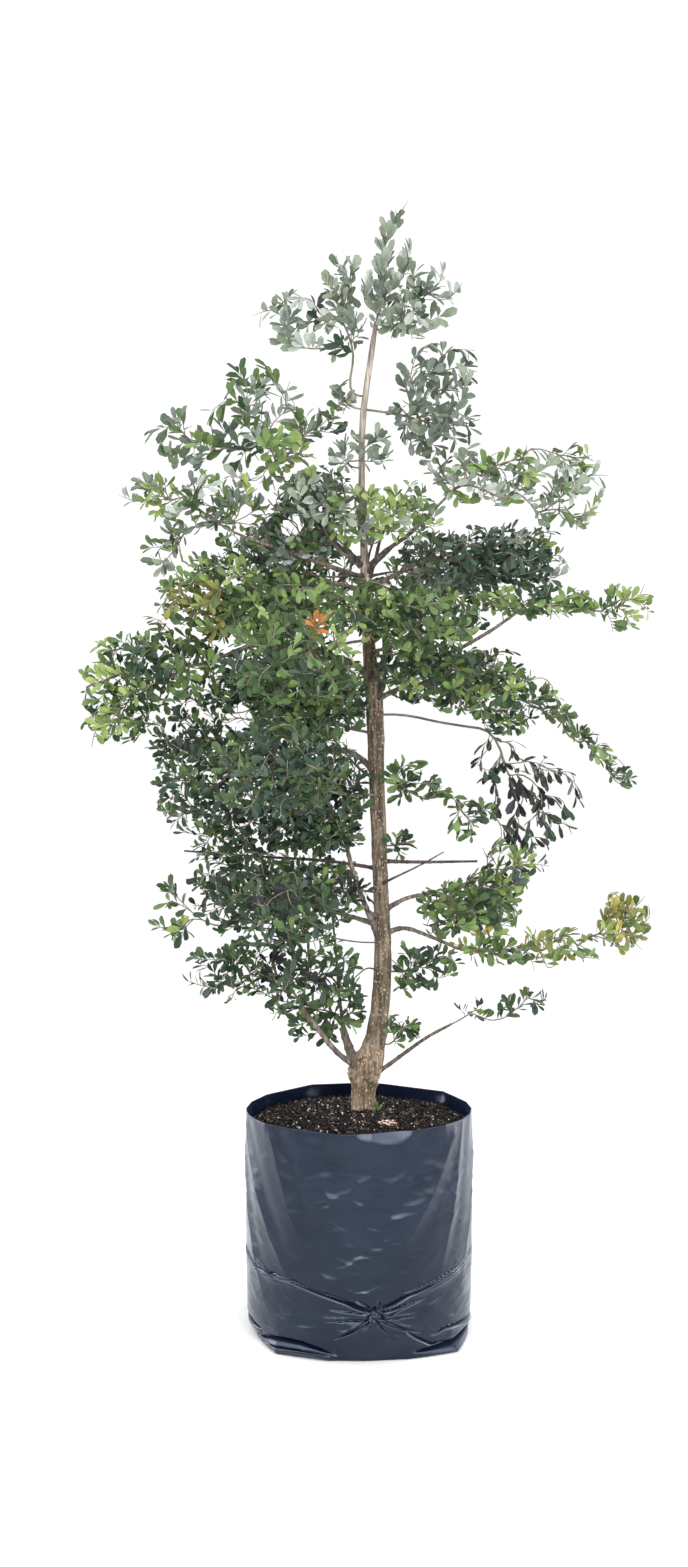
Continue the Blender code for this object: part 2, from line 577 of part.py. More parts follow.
def leaf_mesh(name, foot, heading, face, length):
    """One leaf, folded a little upwards: the hull of its two ends and its two raised edges."""
    body = bmesh.new()
    across = heading.cross(face)
    body.verts.new(foot)
    body.verts.new(foot + heading * length)
    for side in (-1, 1):
        edge = heading * LEAF_WIDEST + across * (0.5 * LEAF_WIDTH * side) + face * LEAF_THICKNESS
        body.verts.new(foot + edge * length)
    bmesh.ops.convex_hull(body, input=body.verts)
    mesh = bpy.data.meshes.new(name)
    body.to_mesh(mesh)
    body.free()
    return mesh


def search_tree(mesh):
    """The mesh in the form that finds what crosses it."""
    return BVHTree.FromPolygons([vertex.co for vertex in mesh.vertices],
                                [face.vertices for face in mesh.polygons])


def twig_places(start, shoot_heading, target):
    """A twig that leaves along its parent and bends to its end."""
    bend = start + shoot_heading * (TWIG_BEND * (target - start).length)
    return [start * (1 - part) ** 2 + bend * (2 * part * (1 - part)) + target * part ** 2
            for part in (0.5, 1)]


def filled_points(places, pitch=0.006):
    """Points along a route, never further apart than the pitch."""
    points = []
    for start, end in zip(places, places[1:]):
        count = max(1, math.ceil((end - start).length / pitch))
        points += [start.lerp(end, part / count) for part in range(1, count + 1)]
    return points


def grow_twigs(crown, name, mass, chance):
    """Joins every tip to the twigs by the shortest easy way; gives the chains of shoots."""
    stem = []
    for place in stem_route(mass):
        stem.append(Shoot(place, stem[-1] if stem else None))
    nodes = stem[len(stem) // 2:]
    chains = [stem]
    ends = []
    tips = tip_places(mass, chance)
    tips.sort(key=lambda tip: (tip[0] - stem[0].place).length)
    for target, outward, length in tips:
        by_cost = sorted(nodes, key=lambda node: (target - node.place).length + DETOUR_COST * node.way)
        for node in by_cost[:TWIG_TRIES]:
            heading = node.heading() if node.parent else outward
            places = twig_places(node.place, heading, target)
            if (target - node.place).length < TWIG_SHORTEST:
                continue
            if crown.is_free(name, filled_points([node.place] + places), TWIG_CLEARANCE, TWIG_LIMIT):
                first = Shoot(places[0], node)
                last = Shoot(places[1], first)
                nodes += [first, last]
                chains.append([node, first, last])
                ends.append((last, outward, length))
                break
    for last, _, _ in ends:
        shoot = last
        while shoot:
            shoot.tips += 1
            shoot = shoot.parent
    return chains, ends


def leaf_tries(crown, name, mass, end, root, chance):
    """Leaves that would have room at a twig's end, those furthest from other leaves first."""
    last, outward, length = end
    axis = (outward + 0.5 * last.heading() - Vector((0, 0, mass.droop))).normalized()
    facing = 0.8 * outward + Vector((0, 0, 0.6))
    foot = last.place - last.heading() * root
    tries = []
    for index in range(LEAF_TRIES):
        spread = math.radians(chance.uniform(*LEAF_SPREAD))
        aside = Quaternion(axis, chance.uniform(0, math.tau)) @ axis.orthogonal().normalized()
        heading = (axis * math.cos(spread) + aside * math.sin(spread)).normalized()
        face = (facing - heading * facing.dot(heading)).normalized()
        face.rotate(Quaternion(heading, math.radians(chance.uniform(-LEAF_ROLL, LEAF_ROLL))))
        size = length * chance.choice(LEAF_SIZES)
        if crown.is_free(name, leaf_points(foot, heading, face, size), LEAF_CLEARANCE, LEAF_LIMIT):
            middle = foot + heading * (0.6 * size)
            room = min(((middle - other).length for other in crown.leaf_middles), default=1)
            tries.append((room, middle, (foot, heading, face, size)))
    return sorted(tries, key=lambda one: -one[0])


def spread_leaves(crown, name, mass, ends, twigs, chance):
    """Leaves round every twig's end, each kept only where it has room and crosses nothing."""
    leaves = []
    trees = [search_tree(twig) for twig in twigs]
    for turn in range(LEAVES_PER_TWIG):
        for own_twig, end in enumerate(ends, 1):
            root = LEAF_ROOT + LEAF_SPACING * turn
            for _, middle, placing in leaf_tries(crown, name, mass, end, root, chance):
                leaf = leaf_mesh(name, *placing)
                tree = search_tree(leaf)
                if any(tree.overlap(other) for index, other in enumerate(trees) if index != own_twig):
                    continue
                leaves.append(leaf)
                trees.append(tree)
                crown.leaf_middles.append(middle)
                break
    return leaves


def largest_piece(mesh):
    """Drops whatever isn't joined to the largest connected body."""
    body = bmesh.new()
    body.from_mesh(mesh)
    islands = []
    seen = set()
    for seed in body.verts:
        if seed in seen:
            continue
        island = {seed}
        queue = [seed]
        while queue:
            for edge in queue.pop().link_edges:
                for vertex in edge.verts:
                    if vertex not in island:
                        island.add(vertex)
                        queue.append(vertex)
        seen |= island
        islands.append(island)
    keep = max(islands, key=len)
    bmesh.ops.delete(body, geom=[vertex for vertex in body.verts if vertex not in keep], context="VERTS")
    body.to_mesh(mesh)
    body.free()
    return mesh


def join_mass(name, bodies, material):
    """Fuses the stem, twigs and leaves of one mass into a single solid."""
    parts = bpy.data.collections.new(name + "_parts")
    bpy.context.scene.collection.children.link(parts)
    for mesh in bodies[1:]:
        parts.objects.link(bpy.data.objects.new(name + "_part", mesh))
    piece = add_piece(name, bodies[0], material)
    union = piece.modifiers.new("joined", "BOOLEAN")
    union.operation = "UNION"
    union.solver = "MANIFOLD"
    union.operand_type = "COLLECTION"
    union.collection = parts
    bpy.context.view_layer.update()
    depsgraph = bpy.context.evaluated_depsgraph_get()
    joined = bpy.data.meshes.new_from_object(piece.evaluated_get(depsgraph))
    piece.modifiers.clear()
    piece.data = largest_piece(joined)
    for part in list(parts.objects):
        bpy.data.objects.remove(part)
    bpy.data.collections.remove(parts)


def twig_meshes(name, mass, chains, section):
    """The stem and the twigs, thicker where they carry more tips."""
    foot_radius = stem_start(mass)[2]
    curves = []
    for chain in chains:
        radii = [TWIG_TIP * max(1, shoot.tips) ** TWIG_GROWTH for shoot in chain]
        if chain is chains[0]:
            radii = [min(radius, foot_radius or radius) for radius in radii]
        else:
            radii[0] = radii[1]
        curves.append(tapered_curve(name, [shoot.place for shoot in chain], radii, section=section))
    return meshes_from_curves(curves)


def make_masses(material):
    """Every mass of leaves, each in its own space."""
    crown = Crown()
    stations, radii = trunk_line()
    crown.add_limb("trunk", stations, radii)
    for name, bough in BOUGHS.items():
        route, bough_radii = bough_line(bough)
        crown.add_limb(name, route, bough_radii)
    for name, mass in MASSES.items():
        stem = stem_route(mass)
        crown.add_limb(name, stem, [STEM_RADIUS] * len(stem))
    section = triangle_section()
    for seed, (name, mass) in enumerate(MASSES.items()):
        chance = random.Random(seed)
        chains, ends = grow_twigs(crown, name, mass, chance)
        twigs = twig_meshes(name, mass, chains, section)
        leaves = spread_leaves(crown, name, mass, ends, twigs, chance)
        join_mass(name, twigs + leaves, material)
    bpy.data.objects.remove(section)


def triangle_section():
    """The three-sided outline that the twigs are swept with."""
    curve = bpy.data.curves.new("twig_section", "CURVE")
    spline = curve.splines.new("POLY")
    spline.points.add(2)
    spline.use_cyclic_u = True
    for index, place in enumerate(spline.points):
        angle = math.tau * index / 3
        place.co = (1.2 * math.cos(angle), 1.2 * math.sin(angle), 0, 1)
    section = bpy.data.objects.new("twig_section", curve)
    CUTTERS.objects.link(section)
    return section


for old in list(bpy.data.objects):
    bpy.data.objects.remove(old)
for group in (TREE, CUTTERS):
    bpy.context.scene.collection.children.link(group)

make_bag(plain_material("black_film", (0.035, 0.040, 0.055), 0.35),
         plain_material("potting_soil", (0.045, 0.030, 0.022), 0.95))
make_limbs(plain_material("bark", (0.27, 0.20, 0.16), 0.85))
make_masses(plain_material("foliage", (0.09, 0.19, 0.05), 0.50))
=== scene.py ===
"""The looks of a young broad-leaved tree in a filled nursery bag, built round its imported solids.

Metres, +Z up, the origin at the centre of the bag's flat underside. Side is +X to the right,
depth is +Y away from the viewer, height is +Z. The sections follow the way such a plant is put
together: the bag, the potting soil and what lies on it, the trunk, the boughs, the bare twigs, the
masses of leaves, and the seedling at the foot. The studio comes last.
"""
import math
import random
from collections import namedtuple

import bpy
import numpy as np
from mathutils import Euler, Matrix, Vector, noise


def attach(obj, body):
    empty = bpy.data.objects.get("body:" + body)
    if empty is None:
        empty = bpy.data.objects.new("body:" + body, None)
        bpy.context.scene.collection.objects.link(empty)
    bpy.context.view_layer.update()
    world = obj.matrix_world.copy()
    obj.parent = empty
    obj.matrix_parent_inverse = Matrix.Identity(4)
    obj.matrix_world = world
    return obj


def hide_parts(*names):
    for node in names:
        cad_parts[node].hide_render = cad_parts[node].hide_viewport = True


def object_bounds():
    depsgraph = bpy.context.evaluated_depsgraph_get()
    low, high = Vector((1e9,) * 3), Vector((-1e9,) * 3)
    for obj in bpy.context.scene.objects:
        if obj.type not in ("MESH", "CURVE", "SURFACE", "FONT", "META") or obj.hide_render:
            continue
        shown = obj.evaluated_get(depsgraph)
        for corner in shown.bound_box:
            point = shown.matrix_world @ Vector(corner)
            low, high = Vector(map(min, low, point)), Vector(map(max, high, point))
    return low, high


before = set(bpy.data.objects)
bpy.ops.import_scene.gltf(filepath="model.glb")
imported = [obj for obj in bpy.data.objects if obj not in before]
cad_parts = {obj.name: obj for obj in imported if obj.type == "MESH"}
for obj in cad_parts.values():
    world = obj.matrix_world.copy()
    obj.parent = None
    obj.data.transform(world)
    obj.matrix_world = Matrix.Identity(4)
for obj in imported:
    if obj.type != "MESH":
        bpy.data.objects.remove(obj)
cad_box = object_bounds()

# ------------------------------------------------------------------ the nursery bag
# A tube of black polythene film, gusseted and sealed across its foot. The soil's weight squares
# the foot, folds its corners under, and draws the spare film of the front into one tied pinch.
BAG_RADIUS = 0.2015
BAG_HEIGHT = 0.400
BAG_BULGE = 0.0012
FILM = 0.0010
SOIL_LINE = 0.366                  # the hidden end of the inner wall
# the mesh's pitch: round the pinch, across the rest of the front, round the back; and up the wall
COLUMN_PITCHES = [(-78, 0.0018), (-21, 0.0012), (36, 0.0018), (78, 0.0070), (282, None)]
ROW_PITCHES = [(0.0012, 0.0010), (0.034, 0.0013), (0.128, 0.0018), (0.160, 0.0028), (0.300, 0.0052),
               (0.399, None)]
UNDERSIDE_RINGS = (0.55, 0.85, 0.97)
# angle from the front, radius: the film's corners at the rim and at the foot
RIM_CORNERS = [(-180, 0.204), (-155, 0.209), (-122, 0.2005), (-104, 0.2015), (-90, 0.2025), (-78, 0.2025),
               (-67, 0.2015), (-56, 0.2), (-40, 0.194), (-11, 0.1975), (6, 0.196), (31, 0.191),
               (50, 0.1955), (65, 0.199), (78, 0.2015), (90, 0.202), (104, 0.2015), (130, 0.206),
               (167, 0.202)]
FOOT_CORNERS = [(-180, 0.19), (-135, 0.207), (-112, 0.197), (-89, 0.1935), (-69, 0.191), (-44, 0.207),
                (-16, 0.191), (3, 0.186), (26, 0.196), (51, 0.217), (72, 0.197), (92, 0.199),
                (112, 0.197), (136, 0.206)]
RIM_BEND = (0.24, 0.40)            # heights between which the round wall takes the rim's corners
RIM_EDGE = (0.372, 0.398)          # and between which those corners turn sharp
RIM_CALM = 0.75                    # how much of the wall's relief is drawn tight at the rim
FOOT_ROUND = 0.024                 # height over which the round wall becomes the squared foot
# the dented rim: middle angle, half width, depth down, lean
TURNED_RIM = (13.5, 15.5, 0.0165, 0.0088)
PINCH = (7.5, 0.084)               # angle and height of the tied pinch
KNOT = (0.0052, 0.0075)            # its radius and rise
DIMPLE = (0.017, 0.0062)           # its radius and depth
PLEATS = (9, 0.026, 0.0034)        # their number, reach and rise
# line of angles and heights; width; rise; 1 where it is strongest at its start; 1 where the film
# tucks away above the line, -1 where it tucks away under it
CREASES = [
    ([(7, 0.086), (-4, 0.1), (-13, 0.11), (-34, 0.128), (-48, 0.127), (-62, 0.12)], 0.0036, 0.0045, 1, 1),
    ([(5, 0.089), (-8, 0.108), (-20, 0.121)], 0.0028, 0.0035, 1, 1),
    ([(-32, 0.131), (-50, 0.134), (-66, 0.138), (-86, 0.154)], 0.0034, 0.004, 0, 1),
    ([(-62, 0.152), (-54, 0.138), (-44, 0.13)], 0.0028, 0.0032, 0, 1),
    ([(8, 0.086), (15, 0.098), (25, 0.112), (42, 0.125), (60, 0.136), (86, 0.158)], 0.0036, 0.0045, 1, 1),
    ([(10, 0.085), (20, 0.098), (32, 0.11)], 0.0028, 0.0035, 1, -1),
    ([(22, 0.116), (40, 0.129), (60, 0.141)], 0.003, 0.0036, 0, 1),
    ([(6, 0.081), (2, 0.068), (-4, 0.052), (-12, 0.038)], 0.0031, 0.0048, 1, 1),
    ([(5, 0.08), (-3, 0.065), (-9, 0.054), (-16, 0.043)], 0.0029, 0.0045, 1, -1),
    ([(6, 0.079), (4, 0.064), (0, 0.052)], 0.0026, 0.0033, 1, 1),
    ([(9, 0.081), (13, 0.068), (20, 0.056), (27, 0.044)], 0.0031, 0.0048, 1, 1),
    ([(10, 0.082), (17, 0.068), (26, 0.058), (33, 0.05)], 0.0029, 0.0045, 1, -1),
    ([(9, 0.079), (12, 0.063), (15, 0.052)], 0.0026, 0.0033, 1, -1),
    ([(4, 0.085), (-6, 0.082), (-20, 0.077)], 0.0029, 0.0037, 1, -1),
    ([(4, 0.087), (-8, 0.09), (-17, 0.091)], 0.0026, 0.0033, 1, 1),
    ([(11, 0.085), (20, 0.083), (31, 0.082)], 0.0029, 0.0037, 1, -1),
    ([(10, 0.088), (20, 0.095), (36, 0.102)], 0.0031, 0.004, 1, 1),
    ([(6, 0.089), (2, 0.099), (-3, 0.11)], 0.0029, 0.0037, 1, 1),
    ([(8, 0.09), (9, 0.1), (8, 0.112)], 0.0029, 0.0037, 1, 1),
    ([(-66, 0.003), (-57, 0.007), (-50, 0.014), (-41, 0.018), (-31, 0.018), (-17, 0.008), (-12, 0.001)],
     0.0058, 0.0075, 0, 1),
    ([(-56, 0.004), (-43, 0.008), (-33, 0.009), (-25, 0.008), (-15, 0.004)], 0.0034, 0.0044, 0, 1),
    ([(-84, 0.029), (-72, 0.025), (-60, 0.022)], 0.0038, 0.005, 0, 1),
    ([(88, 0.026), (70, 0.031), (56, 0.036), (47, 0.038), (38, 0.03)], 0.0038, 0.005, 0, 1),
    ([(78, 0.01), (62, 0.006), (46, 0.004), (28, 0.001)], 0.0068, 0.0085, 0, 1),
    ([(22, 0.048), (27, 0.036), (37, 0.017), (51, 0.012)], 0.0036, 0.0046, 0, 1),
    ([(100, 0.02), (135, 0.016), (165, 0.008)], 0.006, 0.0075, 0, -1),
    ([(-165, 0.008), (-135, 0.016), (-100, 0.02)], 0.006, 0.0075, 0, -1),
    ([(110, 0.15), (140, 0.118), (172, 0.098)], 0.006, 0.0075, 0, 1),
    ([(-172, 0.098), (-140, 0.12), (-108, 0.14)], 0.006, 0.0075, 0, 1),
]
# across a crease, in its widths: where the brow ends; place, width and depth of the groove beyond
BROW_END = 1.25
GROOVE = (1.75, 0.38, 1.8)
# long soft folds that run down from the rim: angle and height at the top and at the foot, width, rise
SOFT_FOLDS = [
    (-83, 0.395, -40, 0.15, 0.016, 0.004), (-54, 0.4, -28, 0.19, 0.018, 0.0038),
    (-88, 0.33, -60, 0.12, 0.014, 0.0034), (60, 0.395, 20, 0.196, 0.018, 0.0038),
    (66, 0.396, 47, 0.18, 0.014, 0.0036), (88, 0.36, 66, 0.15, 0.014, 0.0036),
    (-22, 0.39, -16, 0.25, 0.016, 0.0012), (120, 0.396, 150, 0.16, 0.014, 0.003),
    (-128, 0.396, -154, 0.18, 0.014, 0.003), (170, 0.396, 178, 0.2, 0.014, 0.002),
]
# the little crescents of slack film between the long folds
SLACK_FOLDS = 700
SLACK_LEVELS = (0.035, 0.340)
SLACK_LENGTH = (0.012, 0.029)
SLACK_WIDTH = (0.0055, 0.0105)
SLACK_RISE = (0.0007, 0.0021)
SAG_RISE = 0.0012
SAG_TOP = (0.26, 0.34)             # heights between which the slow waves die out


def smooth_step(low, high, value):
    """0 below low, 1 above high, and a soft rise between."""
    part = np.clip((value - low) / (high - low), 0, 1)
    return part * part * (3 - 2 * part)


def corner_radius(corners, angle):
    """The film runs straight from corner to corner, seen from above."""
    turns, radii = np.array(corners + [(corners[0][0] + 360, corners[0][1])]).T
    turns = np.radians(turns)
    angle = np.radians((angle + 180) % 360 - 180)
    index = np.clip(np.searchsorted(turns, angle, side="right") - 1, 0, len(turns) - 2)
    first, last, start, end = turns[index], turns[index + 1], radii[index], radii[index + 1]
    return start * end * np.sin(last - first) / (start * np.sin(angle - first) + end * np.sin(last - angle))


def along_line(line, along, height):
    """How far each place is from a crease's line, on which side, and at what share of its length."""
    points = np.array([(math.radians(turn) * BAG_RADIUS, level) for turn, level in line])
    lengths = np.linalg.norm(np.diff(points, axis=0), axis=1)
    best, side, way = np.full(along.shape, 9.0), np.zeros_like(along), np.zeros_like(along)
    done = 0.0
    for start, end, length in zip(points, points[1:], lengths):
        dx, dz = (end - start) / length
        run = np.clip((along - start[0]) * dx + (height - start[1]) * dz, 0, length)
        off_x, off_z = along - start[0] - run * dx, height - start[1] - run * dz
        distance = np.hypot(off_x, off_z)
        nearer = distance < best
        best = np.where(nearer, distance, best)
        side = np.where(nearer, np.sign((dx * off_z - dz * off_x) * (1 if dx > 0 else -1)), side)
        way = np.where(nearer, (done + run) / lengths.sum(), way)
        done += length
    return best, side, way


def crease_relief(angle, height):
    """How far the sharp creases stand out of the round wall: a slope, a brow and a groove beyond."""
    along = np.radians(angle) * BAG_RADIUS
    relief = np.zeros_like(along)
    place, half, depth = GROOVE
    for line, width, rise, strong, steep in CREASES:
        distance, side, way = along_line(line, along, height)
        across = side * steep * distance / width
        past = np.maximum(across, BROW_END) - BROW_END
        fade = (1 - way ** 2) * smooth_step(0, 0.05, way) if strong else np.sin(math.pi * way) ** 0.6
        brow = np.where(across < BROW_END, 1 - 0.56 * across, 0.30 * np.exp(-past / 0.5))
        groove = depth * np.exp(-((across - place) / half) ** 2)
        relief += rise * fade * np.where(across < 0, np.exp(0.6 * across), brow - groove)
    return relief


def fold_relief(angle, height):
    """How far the long soft folds stand out, each with a hollow along one side."""
    along = np.radians(angle) * BAG_RADIUS
    relief = np.zeros_like(along)
    for top_turn, top, foot_turn, foot, width, rise in SOFT_FOLDS:
        part = np.clip((top - height) / (top - foot), -0.3, 1.3)
        centre = math.radians(top_turn) * BAG_RADIUS + part * math.radians(foot_turn - top_turn) * BAG_RADIUS
        across = (along - centre) / width
        fade = smooth_step(-0.3, 0.1, part) * (1 - smooth_step(0.75, 1.3, part))
        relief += rise * fade * (np.exp(-np.abs(across)) - 0.5 * np.exp(-((across - 1.6) / 1.1) ** 2))
    return relief


def pinch_relief(angle, height):
    """The tied knot, the dimple round it, and the pleats that fan out from it."""
    side, up = np.radians(angle - PINCH[0]) * BAG_RADIUS, height - PINCH[1]
    away, turn = np.hypot(side, up), np.arctan2(up, side)
    knot = KNOT[1] * np.exp(-(away / KNOT[0]) ** 4) * (0.8 + 0.2 * np.cos(3 * turn + 1))
    dimple = DIMPLE[1] * np.exp(-(away / DIMPLE[0]) ** 2)
    count, reach, rise = PLEATS
    pleats = np.abs(np.cos(count / 2 * turn + 0.6 + 0.5 * np.sin(3 * turn))) ** 2.5
    fade = np.exp(-(away / reach) ** 2) * smooth_step(0.004, 0.010, away)
    return knot - dimple + rise * (pleats - 0.3) * fade


def slack_film(angle, height):
    """The small crescents of slack film, each steep along one edge."""
    chance = random.Random(4)
    along = np.radians(angle) * BAG_RADIUS
    relief = np.zeros_like(along)
    for _ in range(SLACK_FOLDS):
        middle = math.radians(chance.uniform(-180, 180)) * BAG_RADIUS
        level = chance.uniform(*SLACK_LEVELS)
        long, tall = chance.uniform(*SLACK_LENGTH), chance.uniform(*SLACK_WIDTH)
        bend, slope = chance.uniform(-0.9, 1.6), chance.uniform(-0.35, 0.35)
        rise = chance.uniform(*SLACK_RISE) * (1 - 0.6 * abs(math.sin(middle / BAG_RADIUS)))
        across = (along - middle) / long
        up = (height - level - slope * (along - middle)) / tall - bend * across ** 2
        up *= chance.choice((1, -1, -1, -1, -1))
        edge = np.where(up > 0, np.exp(-np.maximum(up, 0)), np.exp(-(up / 0.6) ** 2))
        relief += rise * np.exp(-across ** 2) * edge
    return relief


def sag(angle, height):
    """The film's broad, slow waves."""
    wave = np.vectorize(lambda turn, level: noise.noise(Vector((
        math.cos(turn) * 3.2, math.sin(turn) * 3.2, level * 30))), otypes=[float])
    return SAG_RISE * wave(np.radians(angle), height) * (1 - smooth_step(*SAG_TOP, height))


def wall_radius(angle, height):
    """The outer wall: round at half height, cornered at the rim and the foot, with all its relief."""
    rim = corner_radius(RIM_CORNERS, angle)
    eased = sum(corner_radius(RIM_CORNERS, angle + turn) for turn in (-14, -7, 0, 7, 14)) / 5
    rim = eased + (rim - eased) * smooth_step(*RIM_EDGE, height)
    foot = corner_radius(FOOT_CORNERS, angle)
    wall = BAG_RADIUS + BAG_BULGE * np.sin(math.pi * height / BAG_HEIGHT)
    at_rim = smooth_step(*RIM_BEND, height)
    at_foot = np.exp(-(height / FOOT_ROUND) ** 1.3)
    radius = wall * (1 - at_rim - at_foot) + rim * at_rim + foot * at_foot
    relief = crease_relief(angle, height) + fold_relief(angle, height) + pinch_relief(angle, height)
    relief += slack_film(angle, height) + sag(angle, height)
    drawn = 1 - RIM_CALM * smooth_step(0.375, 0.398, height)
    radius += relief * drawn * smooth_step(-0.006, 0.006, height)
    middle, half, deep, lean = TURNED_RIM
    dent = np.clip(1 - ((angle - middle) / half) ** 2, 0, 1) ** 0.5
    return radius - lean * dent * np.clip(1 - (BAG_HEIGHT - height) / (deep * np.maximum(dent, 0.01)), 0, 1)


def paced(pitches, scale=1.0):
    """Places from the first mark to the last, at the pitch that each mark sets up to the next."""
    places = [np.linspace(start, end, max(1, round((end - start) * scale / pitch)), endpoint=False)
              for (start, pitch), (end, _) in zip(pitches, pitches[1:])]
    return np.concatenate(places)


def bag_rings():
    """The film's section, swept round: underside, foot, outer wall, lip, inner wall."""
    angle = (paced(COLUMN_PITCHES, math.radians(1) * BAG_RADIUS) + 180) % 360 - 180
    heights = np.append(paced(ROW_PITCHES), BAG_HEIGHT - FILM)
    wall = list(zip(wall_radius(*np.meshgrid(angle, heights)), heights))
    outer = wall[-1][0]
    section = [(wall[0][0] * part, 0.0) for part in UNDERSIDE_RINGS] + wall
    section += [(outer - 0.3 * FILM, BAG_HEIGHT), (outer - FILM, BAG_HEIGHT - 0.4 * FILM)]
    section += [(np.minimum(radius, outer + 0.002) - FILM, level)
                for radius, level in reversed(wall) if level >= SOIL_LINE]
    turn = np.radians(angle)
    return np.stack([np.stack([radius * np.sin(turn), -radius * np.cos(turn), np.full(len(turn), level)], 1)
                     for radius, level in section])


def new_mesh(name, points, faces, indices=None):
    """A mesh from its points and faces, and the material of each face where there are several."""
    mesh = bpy.data.meshes.new(name)
    mesh.from_pydata(np.array(points).tolist(), [], faces)
    mesh.update()
    if indices is not None:
        mesh.polygons.foreach_set("material_index", indices)
    return mesh


def skin_faces(rows, columns, start=0):
    """The faces between rings of points that follow one another from the start point on."""
    here = start + np.arange(rows - 1)[:, None] * columns + np.arange(columns)
    following = np.roll(here, -1, axis=1)
    return np.stack([here, following, following + columns, here + columns], 2).reshape(-1, 4).tolist()


def ring_mesh(name, rings):
    """A closed skin over rings of points, ended by a fan to a middle point at each end."""
    rows, columns = rings.shape[:2]
    here = np.arange(columns)
    following = np.roll(here, -1)
    last = (rows - 1) * columns
    middle = np.full(columns, rows * columns)
    fans = [np.stack([following, here, middle], 1), np.stack([last + here, last + following, middle + 1], 1)]
    points = np.vstack([rings.reshape(-1, 3), rings[0].mean(0), rings[-1].mean(0)])
    return new_mesh(name, points, skin_faces(rows, columns) + np.concatenate(fans).tolist())


def show(name, mesh, materials, nodes, smooth=True):
    """Puts a mesh in the scene as a piece of the plant that stands for the named nodes."""
    piece = bpy.data.objects.new(name, mesh)
    bpy.context.scene.collection.objects.link(piece)
    for material in materials:
        mesh.materials.append(material)
    if smooth:
        mesh.shade_smooth()
    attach(piece, "root")
    if nodes:
        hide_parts(*nodes)


def finish(name, colour, roughness, gloss=0.5):
    """A new material with the plain settings of its shader made."""
    material = bpy.data.materials.new(name)
    material.use_nodes = True
    shader = material.node_tree.nodes["Principled BSDF"]
    shader.inputs["Base Color"].default_value = (*colour, 1)
    shader.inputs["Roughness"].default_value = roughness
    shader.inputs["Specular IOR Level"].default_value = gloss
    return material, material.node_tree, shader


def colour_ramp(tree, factor, stops):
    """Colours dealt out by the value of a socket."""
    ramp = tree.nodes.new("ShaderNodeValToRGB")
    while len(ramp.color_ramp.elements) < len(stops):
        ramp.color_ramp.elements.new(0.5)
    for element, (position, colour) in zip(ramp.color_ramp.elements, stops):
        element.position = position
        element.color = (*colour, 1)
    tree.links.new(factor, ramp.inputs["Fac"])
    return ramp


def mottle(tree, scale, stops, stretch=(1, 1, 1), detail=4.0):
    """Noise in the plant's own space, turned into colours: gives the colour and the noise sockets."""
    place = tree.nodes.new("ShaderNodeTexCoord")
    stretched = tree.nodes.new("ShaderNodeMapping")
    stretched.inputs["Scale"].default_value = stretch
    grain = tree.nodes.new("ShaderNodeTexNoise")
    grain.inputs["Scale"].default_value = scale
    grain.inputs["Detail"].default_value = detail
    tree.links.new(place.outputs["Object"], stretched.inputs["Vector"])
    tree.links.new(stretched.outputs["Vector"], grain.inputs["Vector"])
    return colour_ramp(tree, grain.outputs["Fac"], stops).outputs["Color"], grain.outputs["Fac"]


def blended(tree, kind, factor, first, second):
    """Two colours mixed; the factor and the colours may be a number, a colour or a socket."""
    mix = tree.nodes.new("ShaderNodeMix")
    mix.data_type = "RGBA"
    mix.blend_type = kind
    for socket, value in (("Factor", factor), (6, first), (7, second)):
        if isinstance(value, bpy.types.NodeSocket):
            tree.links.new(value, mix.inputs[socket])
        else:
            mix.inputs[socket].default_value = value
    return mix.outputs[2]


def roughen(tree, shader, height, distance, strength=1.0):
    """Fine relief under the light from a height socket."""
    bump = tree.nodes.new("ShaderNodeBump")
    bump.inputs["Distance"].default_value = distance
    bump.inputs["Strength"].default_value = strength
    tree.links.new(height, bump.inputs["Height"])
    tree.links.new(bump.outputs["Normal"], shader.inputs["Normal"])


def painted_brow_highlight(tree, shader, tint, stops):
    """Pales the brows of the folds, where the surface leans upwards but is not yet steep: a painted
    highlight.
    """
    surface = tree.nodes.new("ShaderNodeNewGeometry")
    lean = tree.nodes.new("ShaderNodeSeparateXYZ")
    tree.links.new(surface.outputs["Normal"], lean.inputs["Vector"])
    pale = colour_ramp(tree, lean.outputs["Z"], stops)
    pale.color_ramp.interpolation = "EASE"
    colour = blended(tree, "ADD", 1.0, tint, pale.outputs["Color"])
    tree.links.new(colour, shader.inputs["Base Color"])


film, tree, shader = finish("black_polythene", (0.004, 0.008, 0.020), 0.21)
shader.inputs["IOR"].default_value = 1.42
shader.inputs["Specular Tint"].default_value = (0.74, 0.85, 1.0, 1)
shader.inputs["Sheen Weight"].default_value = 0.07
shader.inputs["Sheen Roughness"].default_value = 0.4
shader.inputs["Sheen Tint"].default_value = (0.25, 0.40, 1.0, 1)
tint, _ = mottle(tree, 9, [(0.30, (0.003, 0.006, 0.015)), (0.70, (0.008, 0.013, 0.028))], (1, 1, 2.2))
# painted highlight: a paler colour on the up-leaning brows of the folds, for the light of the lamps above
# that they catch
plain, brow = (0, 0, 0), (0.052, 0.058, 0.072)
painted_brow_highlight(tree, shader, tint, [(0.08, plain), (0.46, brow), (0.60, brow), (0.76, plain)])
_, crinkle = mottle(tree, 60, [(0, plain), (1, (1, 1, 1))], (1, 1, 1.8), 6.0)
roughen(tree, shader, crinkle, 0.0010, 0.6)
show("nursery_bag_film", ring_mesh("nursery_bag_film", bag_rings()), [film], ["nursery_bag"])

